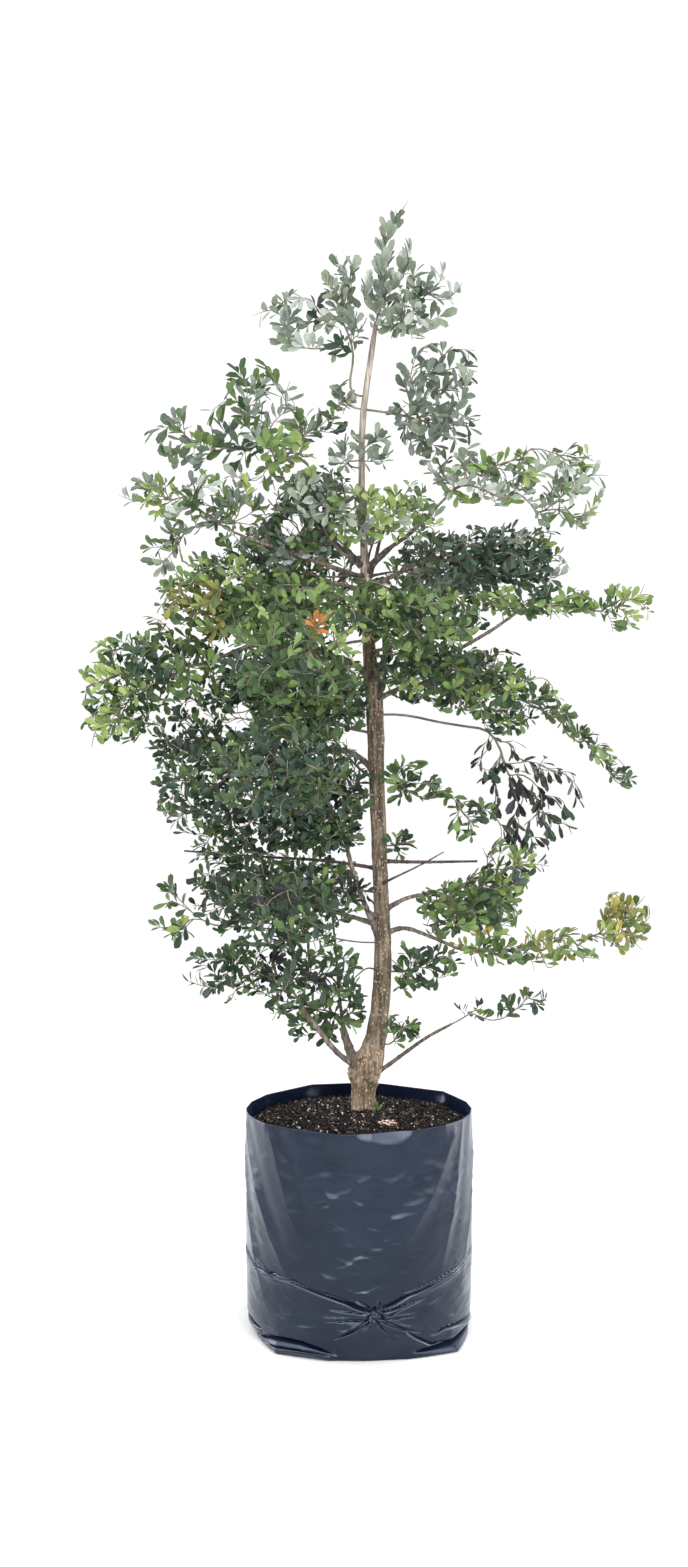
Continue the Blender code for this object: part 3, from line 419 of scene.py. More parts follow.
# ------------------------------------------------------------------ the potting soil
# Coarse dark bark mix with the roots, heaped a little round the trunk and watered down to just
# under the rim. The film alone holds it in shape.
SOIL_EDGE = 0.374
SOIL_CROWN = 0.386
SOIL_FLAT = 0.085
SOIL_LUMPS = (26, 0.0028)          # how close and how high
SOIL_FILL = 0.955                  # the soil's radius, as a share of the rim's
SOIL_SKIRT = ((0.9, 0.300), (0.985, 0.303), (0.985, 0.340))    # share of its radius, and height
SOIL_MESH = (220, 70)              # points round the soil, rings over its top


def soil_height(side, depth):
    """The soil's surface, heaped in the middle and lumpy."""
    pitch, rise = SOIL_LUMPS
    slope = min(1.0, max(0.0, (math.hypot(side, depth) - SOIL_FLAT) / (BAG_RADIUS - SOIL_FLAT)))
    lumps = noise.fractal(Vector((side * pitch, depth * pitch, 3)), 1.0, 2.0, 3) * rise
    return SOIL_CROWN + (SOIL_EDGE - SOIL_CROWN) * slope + lumps


def soil_rings():
    """Rings from the hidden underside, up the film's inside and over the top to its middle."""
    columns, rows = SOIL_MESH
    turns = np.linspace(0, math.tau, columns, endpoint=False)
    wall = SOIL_FILL * corner_radius(RIM_CORNERS, np.degrees(turns))
    edge = np.stack([wall * np.sin(turns), -wall * np.cos(turns)], 1)
    rings = [[(*place, level) for place in edge * part] for part, level in SOIL_SKIRT]
    for part in np.linspace(1.0, 0.02, rows):
        rings.append([(*place, soil_height(*place)) for place in edge * part])
    return np.array(rings)


def mottled_finish(name, colour, roughness, scale, stops, gloss=0.5, detail=4.0, relief=None):
    """A finish in soft patches of the given colours, roughened by its own grain if wanted."""
    material, tree, shader = finish(name, colour, roughness, gloss)
    tint, grain = mottle(tree, scale, stops, detail=detail)
    tree.links.new(tint, shader.inputs["Base Color"])
    if relief:
        roughen(tree, shader, grain, relief)
    return material


soil = mottled_finish("bark_mix", (0.010, 0.008, 0.007), 0.95, 150,
                      [(0.35, (0.004, 0.003, 0.003)), (0.65, (0.020, 0.014, 0.011))], 0.2, 6.0, 0.004)
show("soil_body", ring_mesh("soil_body", soil_rings()), [soil], ["root_ball"])

# ------------------------------------------------------------------ the loose bits
# Chips of pine bark, white grains of perlite, dry root fibres and a few fallen seeds by the trunk's
# foot. They lie as they were poured, each pressed a little into the soil.
SOIL_REACH = 0.93                  # how near the film the loose bits lie
TRUNK_FOOT = (0.008, 0.045)
CHIPS = 4200
CHIP_DEAL = (0, 0, 0, 0, 0, 0, 0, 1, 1, 1, 2)    # seven black, three umber, one brown
PERLITE = 240
FIBRES = 150
SEEDS = [(0.04, -0.062), (0.048, -0.055), (0.055, -0.064), (0.045, -0.072), (0.06, -0.052),
         (0.035, -0.07), (0.052, -0.076), (0.064, -0.067)]
BLOCK = np.array([(x, y, z) for x in (-1, 1) for y in (-1, 1) for z in (-1, 1)], float)
BLOCK_SIDES = np.array([(0, 1, 3, 2), (4, 6, 7, 5), (0, 4, 5, 1), (2, 3, 7, 6), (0, 2, 6, 4), (1, 5, 7, 3)])
KNOCKED = (0.55, 1.1)              # how far a block's corners are knocked in or out


def scattered(chance, count, reach, clear):
    """Even random places on the soil, inside the film and clear of the trunk's foot."""
    places = []
    while len(places) < count:
        turn = chance.uniform(0, math.tau)
        out = reach * math.sqrt(chance.random()) * float(corner_radius(RIM_CORNERS, math.degrees(turn)))
        side, depth = out * math.sin(turn), -out * math.cos(turn)
        if math.hypot(side - TRUNK_FOOT[0], depth - TRUNK_FOOT[1]) > clear:
            places.append((side, depth))
    return places


def loose_bits(name, chance, places, sizes, lift, tilt):
    """Small broken blocks, each knocked out of square, joined in one mesh."""
    points = []
    for side, depth in places:
        half = np.array([chance.uniform(*size) / 2 for size in sizes])
        block = BLOCK * half * np.array([[chance.uniform(*KNOCKED) for _ in range(3)] for _ in BLOCK])
        yaw, lean, roll = chance.uniform(0, math.tau), chance.gauss(0, tilt), chance.gauss(0, tilt)
        block = block @ np.array(Euler((roll, lean, yaw)).to_matrix()).T
        points.append(block + (side, depth, soil_height(side, depth) + lift))
    faces = BLOCK_SIDES + len(BLOCK) * np.arange(len(places))[:, None, None]
    return new_mesh(name, np.concatenate(points), faces.reshape(-1, 4).tolist())


chance = random.Random(11)
chips = [mottled_finish(name, light, 0.6, 220, [(0.3, dark), (0.7, light)], 0.2) for name, dark, light in (
    ("black_bark", (0.004, 0.003, 0.003), (0.011, 0.008, 0.008)),
    ("umber_bark", (0.009, 0.006, 0.0055), (0.022, 0.015, 0.013)),
    ("brown_bark", (0.055, 0.037, 0.028), (0.140, 0.098, 0.072)))]
mesh = loose_bits("bark_chips", chance, scattered(chance, CHIPS, SOIL_REACH, 0.024),
                  ((0.005, 0.018), (0.0018, 0.0042), (0.0016, 0.0042)), 0.0016, 0.55)
dealt = [chance.choice(CHIP_DEAL) for _ in range(CHIPS)]
mesh.polygons.foreach_set("material_index", np.repeat(dealt, len(BLOCK_SIDES)).tolist())
show("bark_chips", mesh, chips, [], smooth=False)
perlite = mottled_finish("perlite", (0.62, 0.60, 0.57), 0.9, 900,
                         [(0.2, (0.42, 0.40, 0.38)), (0.6, (0.72, 0.70, 0.67))])
mesh = loose_bits("perlite_bits", chance, scattered(chance, PERLITE, SOIL_REACH, 0.026),
                  ((0.0015, 0.0038),) * 3, 0.0026, 0.6)
show("perlite_bits", mesh, [perlite], [], smooth=False)
fibre = mottled_finish("dry_fibre", (0.26, 0.20, 0.14), 0.9, 400,
                       [(0.3, (0.15, 0.11, 0.075)), (0.7, (0.34, 0.27, 0.19))])
mesh = loose_bits("dry_fibres", chance, scattered(chance, FIBRES, 0.97 * SOIL_REACH, 0.028),
                  ((0.009, 0.022), (0.0005, 0.0011), (0.0005, 0.0009)), 0.0030, 0.16)
show("dry_fibres", mesh, [fibre], [], smooth=False)
seed = mottled_finish("pale_seed", (0.78, 0.58, 0.45), 0.6, 500,
                      [(0.3, (0.70, 0.46, 0.34)), (0.7, (0.88, 0.72, 0.60))])
mesh = loose_bits("fallen_seeds", chance, SEEDS,
                  ((0.008, 0.011), (0.0045, 0.006), (0.003, 0.004)), 0.0036, 0.3)
show("fallen_seeds", mesh, [seed], [])

# ------------------------------------------------------------------ the trunk
# One slim stem of grey-brown bark with fine upright fibres. It flares at the soil, swells where
# the lowest boughs fork off it, leans right, straightens, and thins to a pale leader above the knot.
TRUNK_DEPTH = 0.045
TRUNK_SIDES = 44
RING_PITCH = 0.0032
FLARE_SIZE = 0.13
FLARE_HEIGHT = 0.022
FLARE_RIDGES = 5
FORK_TOP = 0.500                   # the flecked bark of the fork ends here
LEADER_FOOT = 1.330                # and the leader's smooth, pale bark starts here
FIBRE_RISE = 0.0006
FINE_RISE = 0.0003
CRACK_DEPTH = 0.0026
SLIM = 0.012                       # a thinner stem has fibres and cracks in proportion to its radius
# side, height, radius
TRUNK = [
    (0.008, SOIL_CROWN + 0.0003, 0.0212), (0.008, 0.413, 0.0212), (0.009, 0.434, 0.0232),
    (0.013, 0.463, 0.0284), (0.025, 0.496, 0.0226), (0.036, 0.551, 0.0176), (0.043, 0.66, 0.0158),
    (0.04, 0.77, 0.014), (0.033, 0.95, 0.0138), (0.03, 1.04, 0.0148), (0.026, 1.15, 0.0153),
    (0.019, 1.205, 0.012), (0.014, 1.3, 0.01), (0.012, 1.352, 0.0104), (0.009, 1.392, 0.0068),
    (0.005, 1.48, 0.006), (0.006, 1.62, 0.0056), (0.022, 1.745, 0.005), (0.03, 1.795, 0.004),
]
BURL = (0.455, 0.030, 0.0050)      # height, half height and roughness of the warty swelling at the fork
# height and turn of old scars, knots and stubs where shoots broke off, with their size
KNOTS = [
    (0.455, -60, 0.005), (0.47, 170, 0.004), (0.449, 20, 0.004), (0.432, -20, 0.003), (0.478, 60, 0.0035),
    (0.462, -12, 0.0036), (0.441, 48, 0.0034), (0.47, 12, 0.0034), (0.446, -42, 0.0036),
    (0.425, 24, 0.0024), (0.53, -30, 0.0018), (0.59, 40, 0.0016), (0.7, 60, 0.0028), (0.722, -50, 0.0028),
    (0.712, 5, 0.0022), (0.752, 50, 0.0022), (0.668, 18, 0.0014), (0.83, -20, 0.002), (0.848, 35, 0.0022),
    (0.9, 30, 0.0014), (0.975, -40, 0.0026), (1.01, 10, 0.002), (1.06, 60, 0.0026), (1.12, 30, 0.0024),
    (1.165, -40, 0.0026), (1.18, 60, 0.0026), (1.325, -40, 0.0022), (1.345, 20, 0.0026),
    (1.362, -10, 0.0022), (1.54, 60, 0.0009), (1.64, -60, 0.0011), (1.665, 40, 0.0009),
]


def smooth_route(points, parts):
    """A soft curve through the points, each stretch cut into the given number of parts."""
    points = np.array(points, float)
    ends = np.vstack([2 * points[0] - points[1], points, 2 * points[-1] - points[-2]])
    route = []
    for before, start, end, after in zip(ends, ends[1:], ends[2:], ends[3:]):
        for t in np.arange(parts) / parts:
            route.append(0.5 * (2 * start + (end - before) * t
                                + (2 * before - 5 * start + 4 * end - after) * t ** 2
                                + (3 * start - before - 3 * end + after) * t ** 3))
    return np.array(route + [points[-1]])


def evened(route, pitch):
    """The same route with points at an even pitch."""
    steps = np.linalg.norm(np.diff(route[:, :3], axis=0), axis=1)
    way = np.concatenate([[0], np.cumsum(steps)])
    even = np.linspace(0, way[-1], max(3, round(way[-1] / pitch) + 1))
    return np.stack([np.interp(even, way, route[:, axis]) for axis in range(route.shape[1])], 1)


def limb_rings(centres, radii, sides, relief):
    """Rings square to a limb's line; relief(place, out, radius) gives what stands out of the bark."""
    rings = []
    ways = np.gradient(centres, axis=0)
    ways /= np.linalg.norm(ways, axis=1)[:, None]
    across = Vector(ways[0]).cross(Vector((0, -1, 0)))
    if across.length < 0.3:
        across = Vector(ways[0]).cross(Vector((1, 0, 0)))
    across.normalize()
    for centre, way, radius in zip(centres, ways, radii):
        centre, way = Vector(centre), Vector(way)
        across = (across - way * across.dot(way)).normalized()
        other = way.cross(across)
        ring = []
        for turn in np.arange(sides) * math.tau / sides:
            out = across * math.cos(turn) + other * math.sin(turn)
            ring.append(tuple(centre + out * (radius + relief(centre, out, radius))))
        rings.append(ring)
    return np.array(rings)


def stretched(place, across, along):
    """A place in the bark's own grain, which is finer round the stem than along it."""
    return Vector((place.x * across, place.y * across, place.z * along))


def trunk_relief(centre, out, radius):
    """Root flare, upright fibres, lumps, and the scars of old shoots."""
    height, turn = centre.z, math.atan2(out.x, -out.y)
    place = out * radius + centre
    ridge = 0.5 + 0.5 * math.cos(FLARE_RIDGES * math.atan2(out.y, out.x))
    rise = radius * FLARE_SIZE * (0.35 + ridge) * math.exp(-((height - SOIL_CROWN) / FLARE_HEIGHT) ** 2)
    fibre = noise.noise(stretched(place, 420, 26))
    fine = noise.noise(stretched(place, 900, 70))
    crack = max(0.0, noise.noise(stretched(place, 190, 11)) - 0.12)
    lump = noise.fractal(stretched(place, 60, 45), 1.0, 2.0, 2)
    burl = BURL[2] * math.exp(-((height - BURL[0]) / BURL[1]) ** 2)
    knobs = noise.fractal(stretched(place, 150, 140), 0.7, 2.0, 3)
    bark = FIBRE_RISE * fibre + FINE_RISE * fine - CRACK_DEPTH * crack
    rise += min(1.0, radius / SLIM) * bark + radius * 0.06 * lump + burl * knobs
    for level, angle, size in KNOTS:
        up = (height - level) / (size * 2.6 + 0.002)
        if abs(up) < 3:
            round_trunk = (turn - math.radians(angle) + math.pi) % math.tau - math.pi
            away = math.hypot(up, round_trunk * radius / (size * 2.2 + 0.001))
            rise += size * (math.exp(-away ** 2) - 0.5 * math.exp(-(away / 0.35) ** 2))
    return rise


def bark_finish(name, low, high, pale, fibres, relief, fleck=None):
    """Bark: upright streaks of two browns with paler ones, darker patches, and flecks if wanted."""
    bark, tree, shader = finish(name, high, 0.84)
    streaks, grain = mottle(tree, fibres, [(0.34, low), (0.50, high), (0.68, pale)], (1, 1, 0.10), 7.0)
    dim = (0.40, 0.37, 0.35)
    patches, _ = mottle(tree, 34, [(0.36, dim), (0.56, (1, 1, 1))], (1, 1, 0.45), 5.0)
    colour = blended(tree, "MULTIPLY", 0.75, streaks, patches)
    if fleck:
        _, spots = mottle(tree, 330, [(0, (0, 0, 0)), (1, (1, 1, 1))], (1, 1, 0.6), 2.0)
        cut = tree.nodes.new("ShaderNodeMapRange")
        cut.inputs["From Min"].default_value = 0.60
        cut.inputs["From Max"].default_value = 0.66
        tree.links.new(spots, cut.inputs["Value"])
        colour = blended(tree, "MIX", cut.outputs["Result"], colour, (*fleck, 1))
    tree.links.new(colour, shader.inputs["Base Color"])
    roughen(tree, shader, grain, relief, 0.9)
    return bark


stations = smooth_route([(side, TRUNK_DEPTH, height, radius) for side, height, radius in TRUNK], 8)
stations = evened(stations, RING_PITCH)
rings = limb_rings(stations[:, :3], stations[:, 3], TRUNK_SIDES, trunk_relief)
rings[0, :, 2] = SOIL_CROWN - 0.004
barks = [
    bark_finish("tan_fork_bark", (0.075, 0.050, 0.033), (0.215, 0.155, 0.102), (0.40, 0.32, 0.22),
                190, 0.003, (0.55, 0.43, 0.27)),
    bark_finish("grey_brown_bark", (0.050, 0.035, 0.023), (0.142, 0.104, 0.068), (0.29, 0.235, 0.165),
                170, 0.002, (0.42, 0.35, 0.28)),
    bark_finish("pale_leader_bark", (0.20, 0.16, 0.13), (0.38, 0.33, 0.28), (0.55, 0.50, 0.44), 260, 0.001),
]
mesh = ring_mesh("trunk_bark", rings)
show("trunk_bark", mesh, barks, ["trunk"])
indices = np.repeat(np.searchsorted([FORK_TOP, LEADER_FOOT], stations[:-1, 2], side="right"), TRUNK_SIDES)
ends = [0] * TRUNK_SIDES + [2] * TRUNK_SIDES
mesh.polygons.foreach_set("material_index", indices.tolist() + ends)

# ------------------------------------------------------------------ the boughs
# Each is one tapering limb of the same bark, thicker in a collar where it joins the trunk, with
# small swellings where leaves once stood. The thinner ones are younger and greyer.
BOUGH_SIDES = 14
BOUGH_PITCH = 0.0035
COLLAR = (0.55, 0.010)             # its share of the radius, and how soon it fades
NODE_PITCH = 0.021
NODE_SWELL = (0.16, 0.0022)        # its share of the radius, and its half length
Bough = namedtuple("Bough", "foot_radius tip_radius route")
BOUGHS = {
    "upper_right_bough": Bough(0.0042, 0.0032, [
        (0.012, 0.045, 1.362), (0.045, 0.028, 1.393), (0.09, 0.01, 1.425), (0.135, 0.0, 1.47)]),
    "right_dark_bough": Bough(0.0042, 0.0032, [
        (0.014, 0.046, 1.326), (0.06, 0.062, 1.35), (0.1, 0.072, 1.37)]),
    "right_tip_bough": Bough(0.0048, 0.0026, [
        (0.024, 0.045, 1.18), (0.08, 0.03, 1.195), (0.16, 0.01, 1.215), (0.225, 0.0, 1.25),
        (0.262, 0.0, 1.275)]),
    "right_lower_bough": Bough(0.0045, 0.0032, [
        (0.028, 0.045, 1.128), (0.07, 0.03, 1.15), (0.11, 0.02, 1.157)]),
    "right_arm_upper_bough": Bough(0.0042, 0.003, [
        (0.042, 0.045, 0.75), (0.085, 0.03, 0.775), (0.125, 0.02, 0.785)]),
    "right_arm_lower_bough": Bough(0.0042, 0.0028, [
        (0.043, 0.045, 0.708), (0.08, 0.036, 0.72), (0.12, 0.016, 0.711), (0.16, 0.0, 0.696)]),
    "right_low_bough": Bough(0.0042, 0.0024, [
        (0.014, 0.045, 0.44), (0.06, 0.038, 0.475), (0.12, 0.024, 0.522), (0.165, 0.01, 0.55)]),
    "bare_right_bough": Bough(0.0034, 0.002, [
        (0.037, 0.048, 0.84), (0.11, 0.066, 0.836), (0.215, 0.085, 0.835)]),
    "bare_left_bough": Bough(0.0034, 0.0016, [
        (0.037, 0.048, 0.826), (-0.06, 0.1, 0.834), (-0.18, 0.13, 0.838), (-0.32, 0.12, 0.85)]),
    "upper_left_bough": Bough(0.0055, 0.0036, [
        (0.011, 0.047, 1.366), (-0.025, 0.055, 1.392), (-0.065, 0.055, 1.43), (-0.1, 0.05, 1.465),
        (-0.125, 0.045, 1.505)]),
    "upper_left_outer_bough": Bough(0.0046, 0.003, [
        (0.012, 0.045, 1.345), (-0.05, 0.022, 1.366), (-0.12, 0.0, 1.39), (-0.185, -0.01, 1.412)]),
    "left_mid_bough": Bough(0.0046, 0.0034, [
        (0.013, 0.044, 1.322), (-0.048, -0.002, 1.338), (-0.095, -0.036, 1.34)]),
    "far_left_bough": Bough(0.0055, 0.003, [
        (0.022, 0.045, 1.168), (-0.02, 0.03, 1.2), (-0.105, 0.0, 1.224), (-0.185, -0.02, 1.228),
        (-0.25, -0.03, 1.205)]),
    "left_rising_bough": Bough(0.0055, 0.0036, [
        (0.04, 0.045, 0.692), (0.01, 0.024, 0.765), (-0.012, 0.008, 0.83), (-0.024, 0.0, 0.88)]),
    "left_outer_bough": Bough(0.005, 0.0034, [
        (0.031, 0.045, 1.0), (-0.015, 0.064, 1.035), (-0.08, 0.082, 1.038), (-0.145, 0.09, 1.02)]),
    "left_lower_bough": Bough(0.0046, 0.0034, [
        (0.04, 0.045, 0.722), (-0.01, 0.048, 0.738), (-0.05, 0.03, 0.752)]),
    "low_left_bough": Bough(0.0055, 0.0036, [
        (0.01, 0.04, 0.455), (-0.04, 0.01, 0.5), (-0.085, -0.004, 0.56), (-0.11, -0.01, 0.6)]),
    "low_left_riser": Bough(0.011, 0.006, [
        (0.01, 0.048, 0.455), (-0.014, 0.056, 0.488), (-0.03, 0.06, 0.535)]),
}


def bough_relief(centre, out, radius):
    """Fine fibres and small lumps."""
    place = out * radius + centre
    return radius * (0.10 * noise.noise(stretched(place, 500, 200)) + 0.12 * noise.noise(place * 90))


def bough_rings(bough, sides):
    """A limb with its collar at the foot and its swollen nodes."""
    route = evened(smooth_route(bough.route, 8), BOUGH_PITCH)
    part = np.linspace(0, 1, len(route))
    way = part * BOUGH_PITCH * (len(route) - 1)
    radii = bough.foot_radius + (bough.tip_radius - bough.foot_radius) * part
    radii *= 1 + COLLAR[0] * np.exp(-np.maximum(way - COLLAR[1], 0) / COLLAR[1])
    radii *= 1 + NODE_SWELL[0] * np.exp(-((way % NODE_PITCH - NODE_PITCH / 2) / NODE_SWELL[1]) ** 2)
    return limb_rings(route, radii, sides, bough_relief)


bough_bark = bark_finish("grey_bough_bark", (0.060, 0.045, 0.037), (0.150, 0.118, 0.098), (0.29, 0.245, 0.21),
                         300, 0.001)
bare_bark = bark_finish("dark_bare_bark", (0.030, 0.023, 0.020), (0.085, 0.064, 0.055), (0.19, 0.155, 0.135),
                        300, 0.001)
for name, bough in BOUGHS.items():
    limb = name.replace("_bough", "_limb").replace("_riser", "_rising_limb")
    bark = bare_bark if name.startswith("bare") else bough_bark
    show(limb, ring_mesh(limb, bough_rings(bough, BOUGH_SIDES)), [bark], [name])

# ------------------------------------------------------------------ the bare twigs
# Thin dead shoots and broken stubs that carry no leaves, in the dark bark of the bare boughs. Most
# stand round the knots of the trunk, where the boughs fork off.
BARE_SIDES = 8
BARE = [
    Bough(0.0034, 0.0024, [
        (0.02, 0.03, 1.165), (0.034, 0.02, 1.19), (0.055, 0.01, 1.222), (0.066, 0.006, 1.238)]),
    Bough(0.004, 0.0026, [
        (0.032, 0.038, 1.13), (0.044, 0.03, 1.165), (0.044, 0.029, 1.22), (0.042, 0.032, 1.262)]),
    Bough(0.0036, 0.002, [
        (0.016, 0.042, 1.35), (0.028, 0.036, 1.375), (0.036, 0.034, 1.41), (0.052, 0.03, 1.45)]),
    Bough(0.0026, 0.0014, [(0.012, 0.042, 1.356), (0.018, 0.034, 1.39), (0.03, 0.03, 1.425)]),
    Bough(0.0026, 0.0012, [
        (0.012, 0.04, 1.35), (-0.01, 0.02, 1.352), (-0.05, -0.01, 1.348), (-0.085, -0.03, 1.352)]),
    Bough(0.0024, 0.0012, [
        (0.012, 0.04, 1.342), (0.004, 0.016, 1.336), (-0.03, -0.016, 1.322), (-0.075, -0.03, 1.318)]),
    Bough(0.0024, 0.0014, [
        (0.012, 0.04, 1.354), (0.03, 0.022, 1.372), (0.058, 0.004, 1.4), (0.075, -0.004, 1.43)]),
    Bough(0.0024, 0.0012, [
        (0.014, 0.04, 1.348), (0.03, 0.03, 1.352), (0.07, 0.02, 1.358), (0.105, 0.016, 1.352)]),
    Bough(0.0022, 0.0012, [
        (0.014, 0.04, 1.336), (0.036, 0.024, 1.334), (0.06, 0.01, 1.326), (0.085, 0.006, 1.33)]),
    Bough(0.0024, 0.0012, [
        (0.008, 0.042, 1.364), (-0.008, 0.03, 1.385), (-0.034, 0.02, 1.41), (-0.058, 0.014, 1.428)]),
    Bough(0.0026, 0.0014, [
        (0.033, 0.04, 0.985), (0.0, 0.01, 1.01), (-0.03, -0.01, 1.045), (-0.048, -0.02, 1.07)]),
    Bough(0.003, 0.0016, [
        (0.042, 0.04, 0.735), (0.0, 0.014, 0.766), (-0.012, 0.006, 0.79), (-0.016, 0.004, 0.84)]),
    Bough(0.0022, 0.001, [(0.04, 0.036, 0.8), (0.06, 0.02, 0.812), (0.11, 0.01, 0.838), (0.15, 0.0, 0.862)]),
    Bough(0.0016, 0.0009, [
        (0.04, 0.04, 0.64), (0.016, 0.02, 0.65), (-0.004, 0.01, 0.638), (-0.02, 0.004, 0.622)]),
    Bough(0.0032, 0.0018, [
        (-0.026, 0.058, 0.52), (-0.036, 0.05, 0.6), (-0.042, 0.046, 0.68), (-0.048, 0.04, 0.74)]),
]


def joined(name, limbs):
    """Several limbs as one mesh, each cut square at its ends."""
    points, faces, start = [], [], 0
    for rings in limbs:
        rows, columns = rings.shape[:2]
        foot = start + np.arange(columns)
        faces += skin_faces(rows, columns, start)
        faces += [foot[::-1].tolist(), (foot + (rows - 1) * columns).tolist()]
        points.append(rings.reshape(-1, 3))
        start += rows * columns
    return new_mesh(name, np.concatenate(points), faces)


mesh = joined("bare_twigs", [bough_rings(twig, BARE_SIDES) for twig in BARE])
show("bare_twigs", mesh, [bare_bark], [])

# ------------------------------------------------------------------ the masses of leaves
# Every mass grows from one stem: twigs join on by the shortest easy way until they fill its space,
# and each carries leathery leaves set round its last stretch, turned to the light. The leaves are
# widest towards a blunt tip, a little folded and curled, and paler and duller beneath.
Lobe = namedtuple("Lobe", "side depth height wide deep tall lean fuller", defaults=(0, 1.0))
Mass = namedtuple("Mass", "foot fullness leaf tints lobes route droop", defaults=((), 0.0))
# a lobe: its centre, its half widths, its lean to the right in degrees, and its own share of twig ends
# a mass: the bough it sits on, or its height on the trunk; its share of twig ends; the size of its
# leaves; its mix of greens; its lobes; the places its stem passes through; how far its leaves hang
SHELLS = ((1.0, 1.0), (0.64, 0.85), (0.30, 0.8))      # share of the lobe's radius, density
TIPS_PER_AREA = 400                # twig ends for each square metre of a shell
TIP_DEPTH = (-0.008, 0.026)        # how far under their shell the ends lie
TIP_SCATTER = 0.007
FAR_OUT = 0.15                     # masses so far before or behind the trunk grow more raggedly
RAGGED = (0.12, 0.55)              # how raggedly the near and the far masses grow
TWIG_TIP = 0.0008                  # radius of a twig that carries one end
TWIG_GROWTH = 0.27                 # the power by which it thickens with the ends it carries
TWIG_BEND = 0.4                    # share of its length over which it keeps its parent's heading
TWIG_STEPS = 3
TWIG_TRIES = 6
TWIG_SHORTEST = 0.010
TWIG_SIDES = 5
TWIG_LIMIT = 1.3                   # how far out twigs may reach, in lobe radii
DETOUR_COST = 0.35                 # how much a long way from the foot counts against a joint
STEM_START = 0.010
STEM_STEPS = 4
LEAVES_PER_TWIG = 8
HANGING_LEAVES = 3                 # a drooping, half-dead mass has lost most of its leaves
LEAF_SPACING = (0.0048, 0.0082)
LEAF_TURN = 137.5                  # degrees round the twig from one leaf to the next
LEAF_SPREAD = (24, 46)             # degrees off the twig for the last leaf; those behind it stand
SPREAD_STEP = 8                    # out by so much more each, up to the fifth
LEAF_LENGTH = (0.022, 0.037)
LEAF_WIDTH = (0.38, 0.52)          # share of its length
LEAF_THICKNESS = 0.012             # share of its length
LEAF_FOLD = (4, 24)
LEAF_CURL = (-0.02, 0.16)
LAST_LEAF = 0.78                   # size of the young leaf at the twig's end
TO_LIGHT = np.array([0, -0.20, 0.62])      # the way that the leaves turn their upper sides
LEAF_TRIES = 5
LEAF_LIMIT = 1.16                  # how far out leaves may reach, in lobe radii
BOX_MARGIN = 0.004                 # how far past the solids' box they may reach
LIMB_CLEARANCE = 0.0015
FIRST_SEED = 500                   # each mass draws its own run of chances
EYE = np.array((-0.027, -3.839, 1.3145))   # where the camera stands
# open places in the crown, side and height as the eye sees them at the middle of the crown, and radius
WINDOWS = [(-0.203, 1.455, 0.018), (-0.119, 1.438, 0.018), (-0.212, 1.103, 0.020)]

# the silver, sage and grey tints, dealt mostly to the upper masses, are paler partly as the leaves' own
# greyish green and partly as a painted sheen of the light above on the top leaves
TINTS = {
    "charcoal": (0.017, 0.02, 0.02), "deep": (0.03, 0.058, 0.036), "dark": (0.044, 0.082, 0.032),
    "mid": (0.082, 0.138, 0.044), "fresh": (0.138, 0.218, 0.066), "light": (0.24, 0.32, 0.1),
    "olive": (0.2, 0.2, 0.055), "gold": (0.42, 0.35, 0.085), "rust": (0.46, 0.17, 0.04),
    "straw": (0.4, 0.36, 0.24), "grey": (0.13, 0.168, 0.135), "sage": (0.215, 0.258, 0.19),
    "silver": (0.345, 0.39, 0.34),
}
LADDER = ["charcoal", "deep", "dark", "mid", "fresh", "light"]
SUNLIT = 0.22                      # share of the outer sprays that are one step lighter
SHADED = 0.5                       # share of the inner sprays that are one step darker
# the deep mix, and the charcoal and deep shares of the others, darken the dense masses partly as their
# leaves' own dark green and partly as painted shade for the shade deep inside them
MIXES = {
    "deep": {"charcoal": 0.12, "deep": 0.44, "dark": 0.31, "mid": 0.12, "fresh": 0.01},
    "green": {"charcoal": 0.04, "deep": 0.25, "dark": 0.36, "mid": 0.25, "fresh": 0.08, "light": 0.02},
    "leafy": {"deep": 0.12, "dark": 0.33, "mid": 0.37, "fresh": 0.15, "light": 0.03},
    "fresh": {"dark": 0.14, "mid": 0.34, "fresh": 0.38, "light": 0.14},
    "silver": {"silver": 0.46, "sage": 0.38, "grey": 0.16},
    "grey": {"silver": 0.16, "sage": 0.44, "grey": 0.34, "deep": 0.06},
    "upper": {"silver": 0.12, "sage": 0.28, "grey": 0.24, "mid": 0.16, "dark": 0.12, "fresh": 0.08},
    "bright": {"silver": 0.14, "sage": 0.26, "mid": 0.16, "fresh": 0.26, "light": 0.18},
    "pale": {"sage": 0.34, "silver": 0.30, "fresh": 0.16, "mid": 0.08, "light": 0.12},
    "hazy": {"silver": 0.06, "sage": 0.20, "grey": 0.40, "deep": 0.18, "dark": 0.16},
    "charcoal": {"charcoal": 0.88, "deep": 0.11, "straw": 0.01},
    "golden": {"mid": 0.34, "fresh": 0.30, "light": 0.18, "olive": 0.15, "gold": 0.03},
}
Spot = namedtuple("Spot", "side height radius tint share")
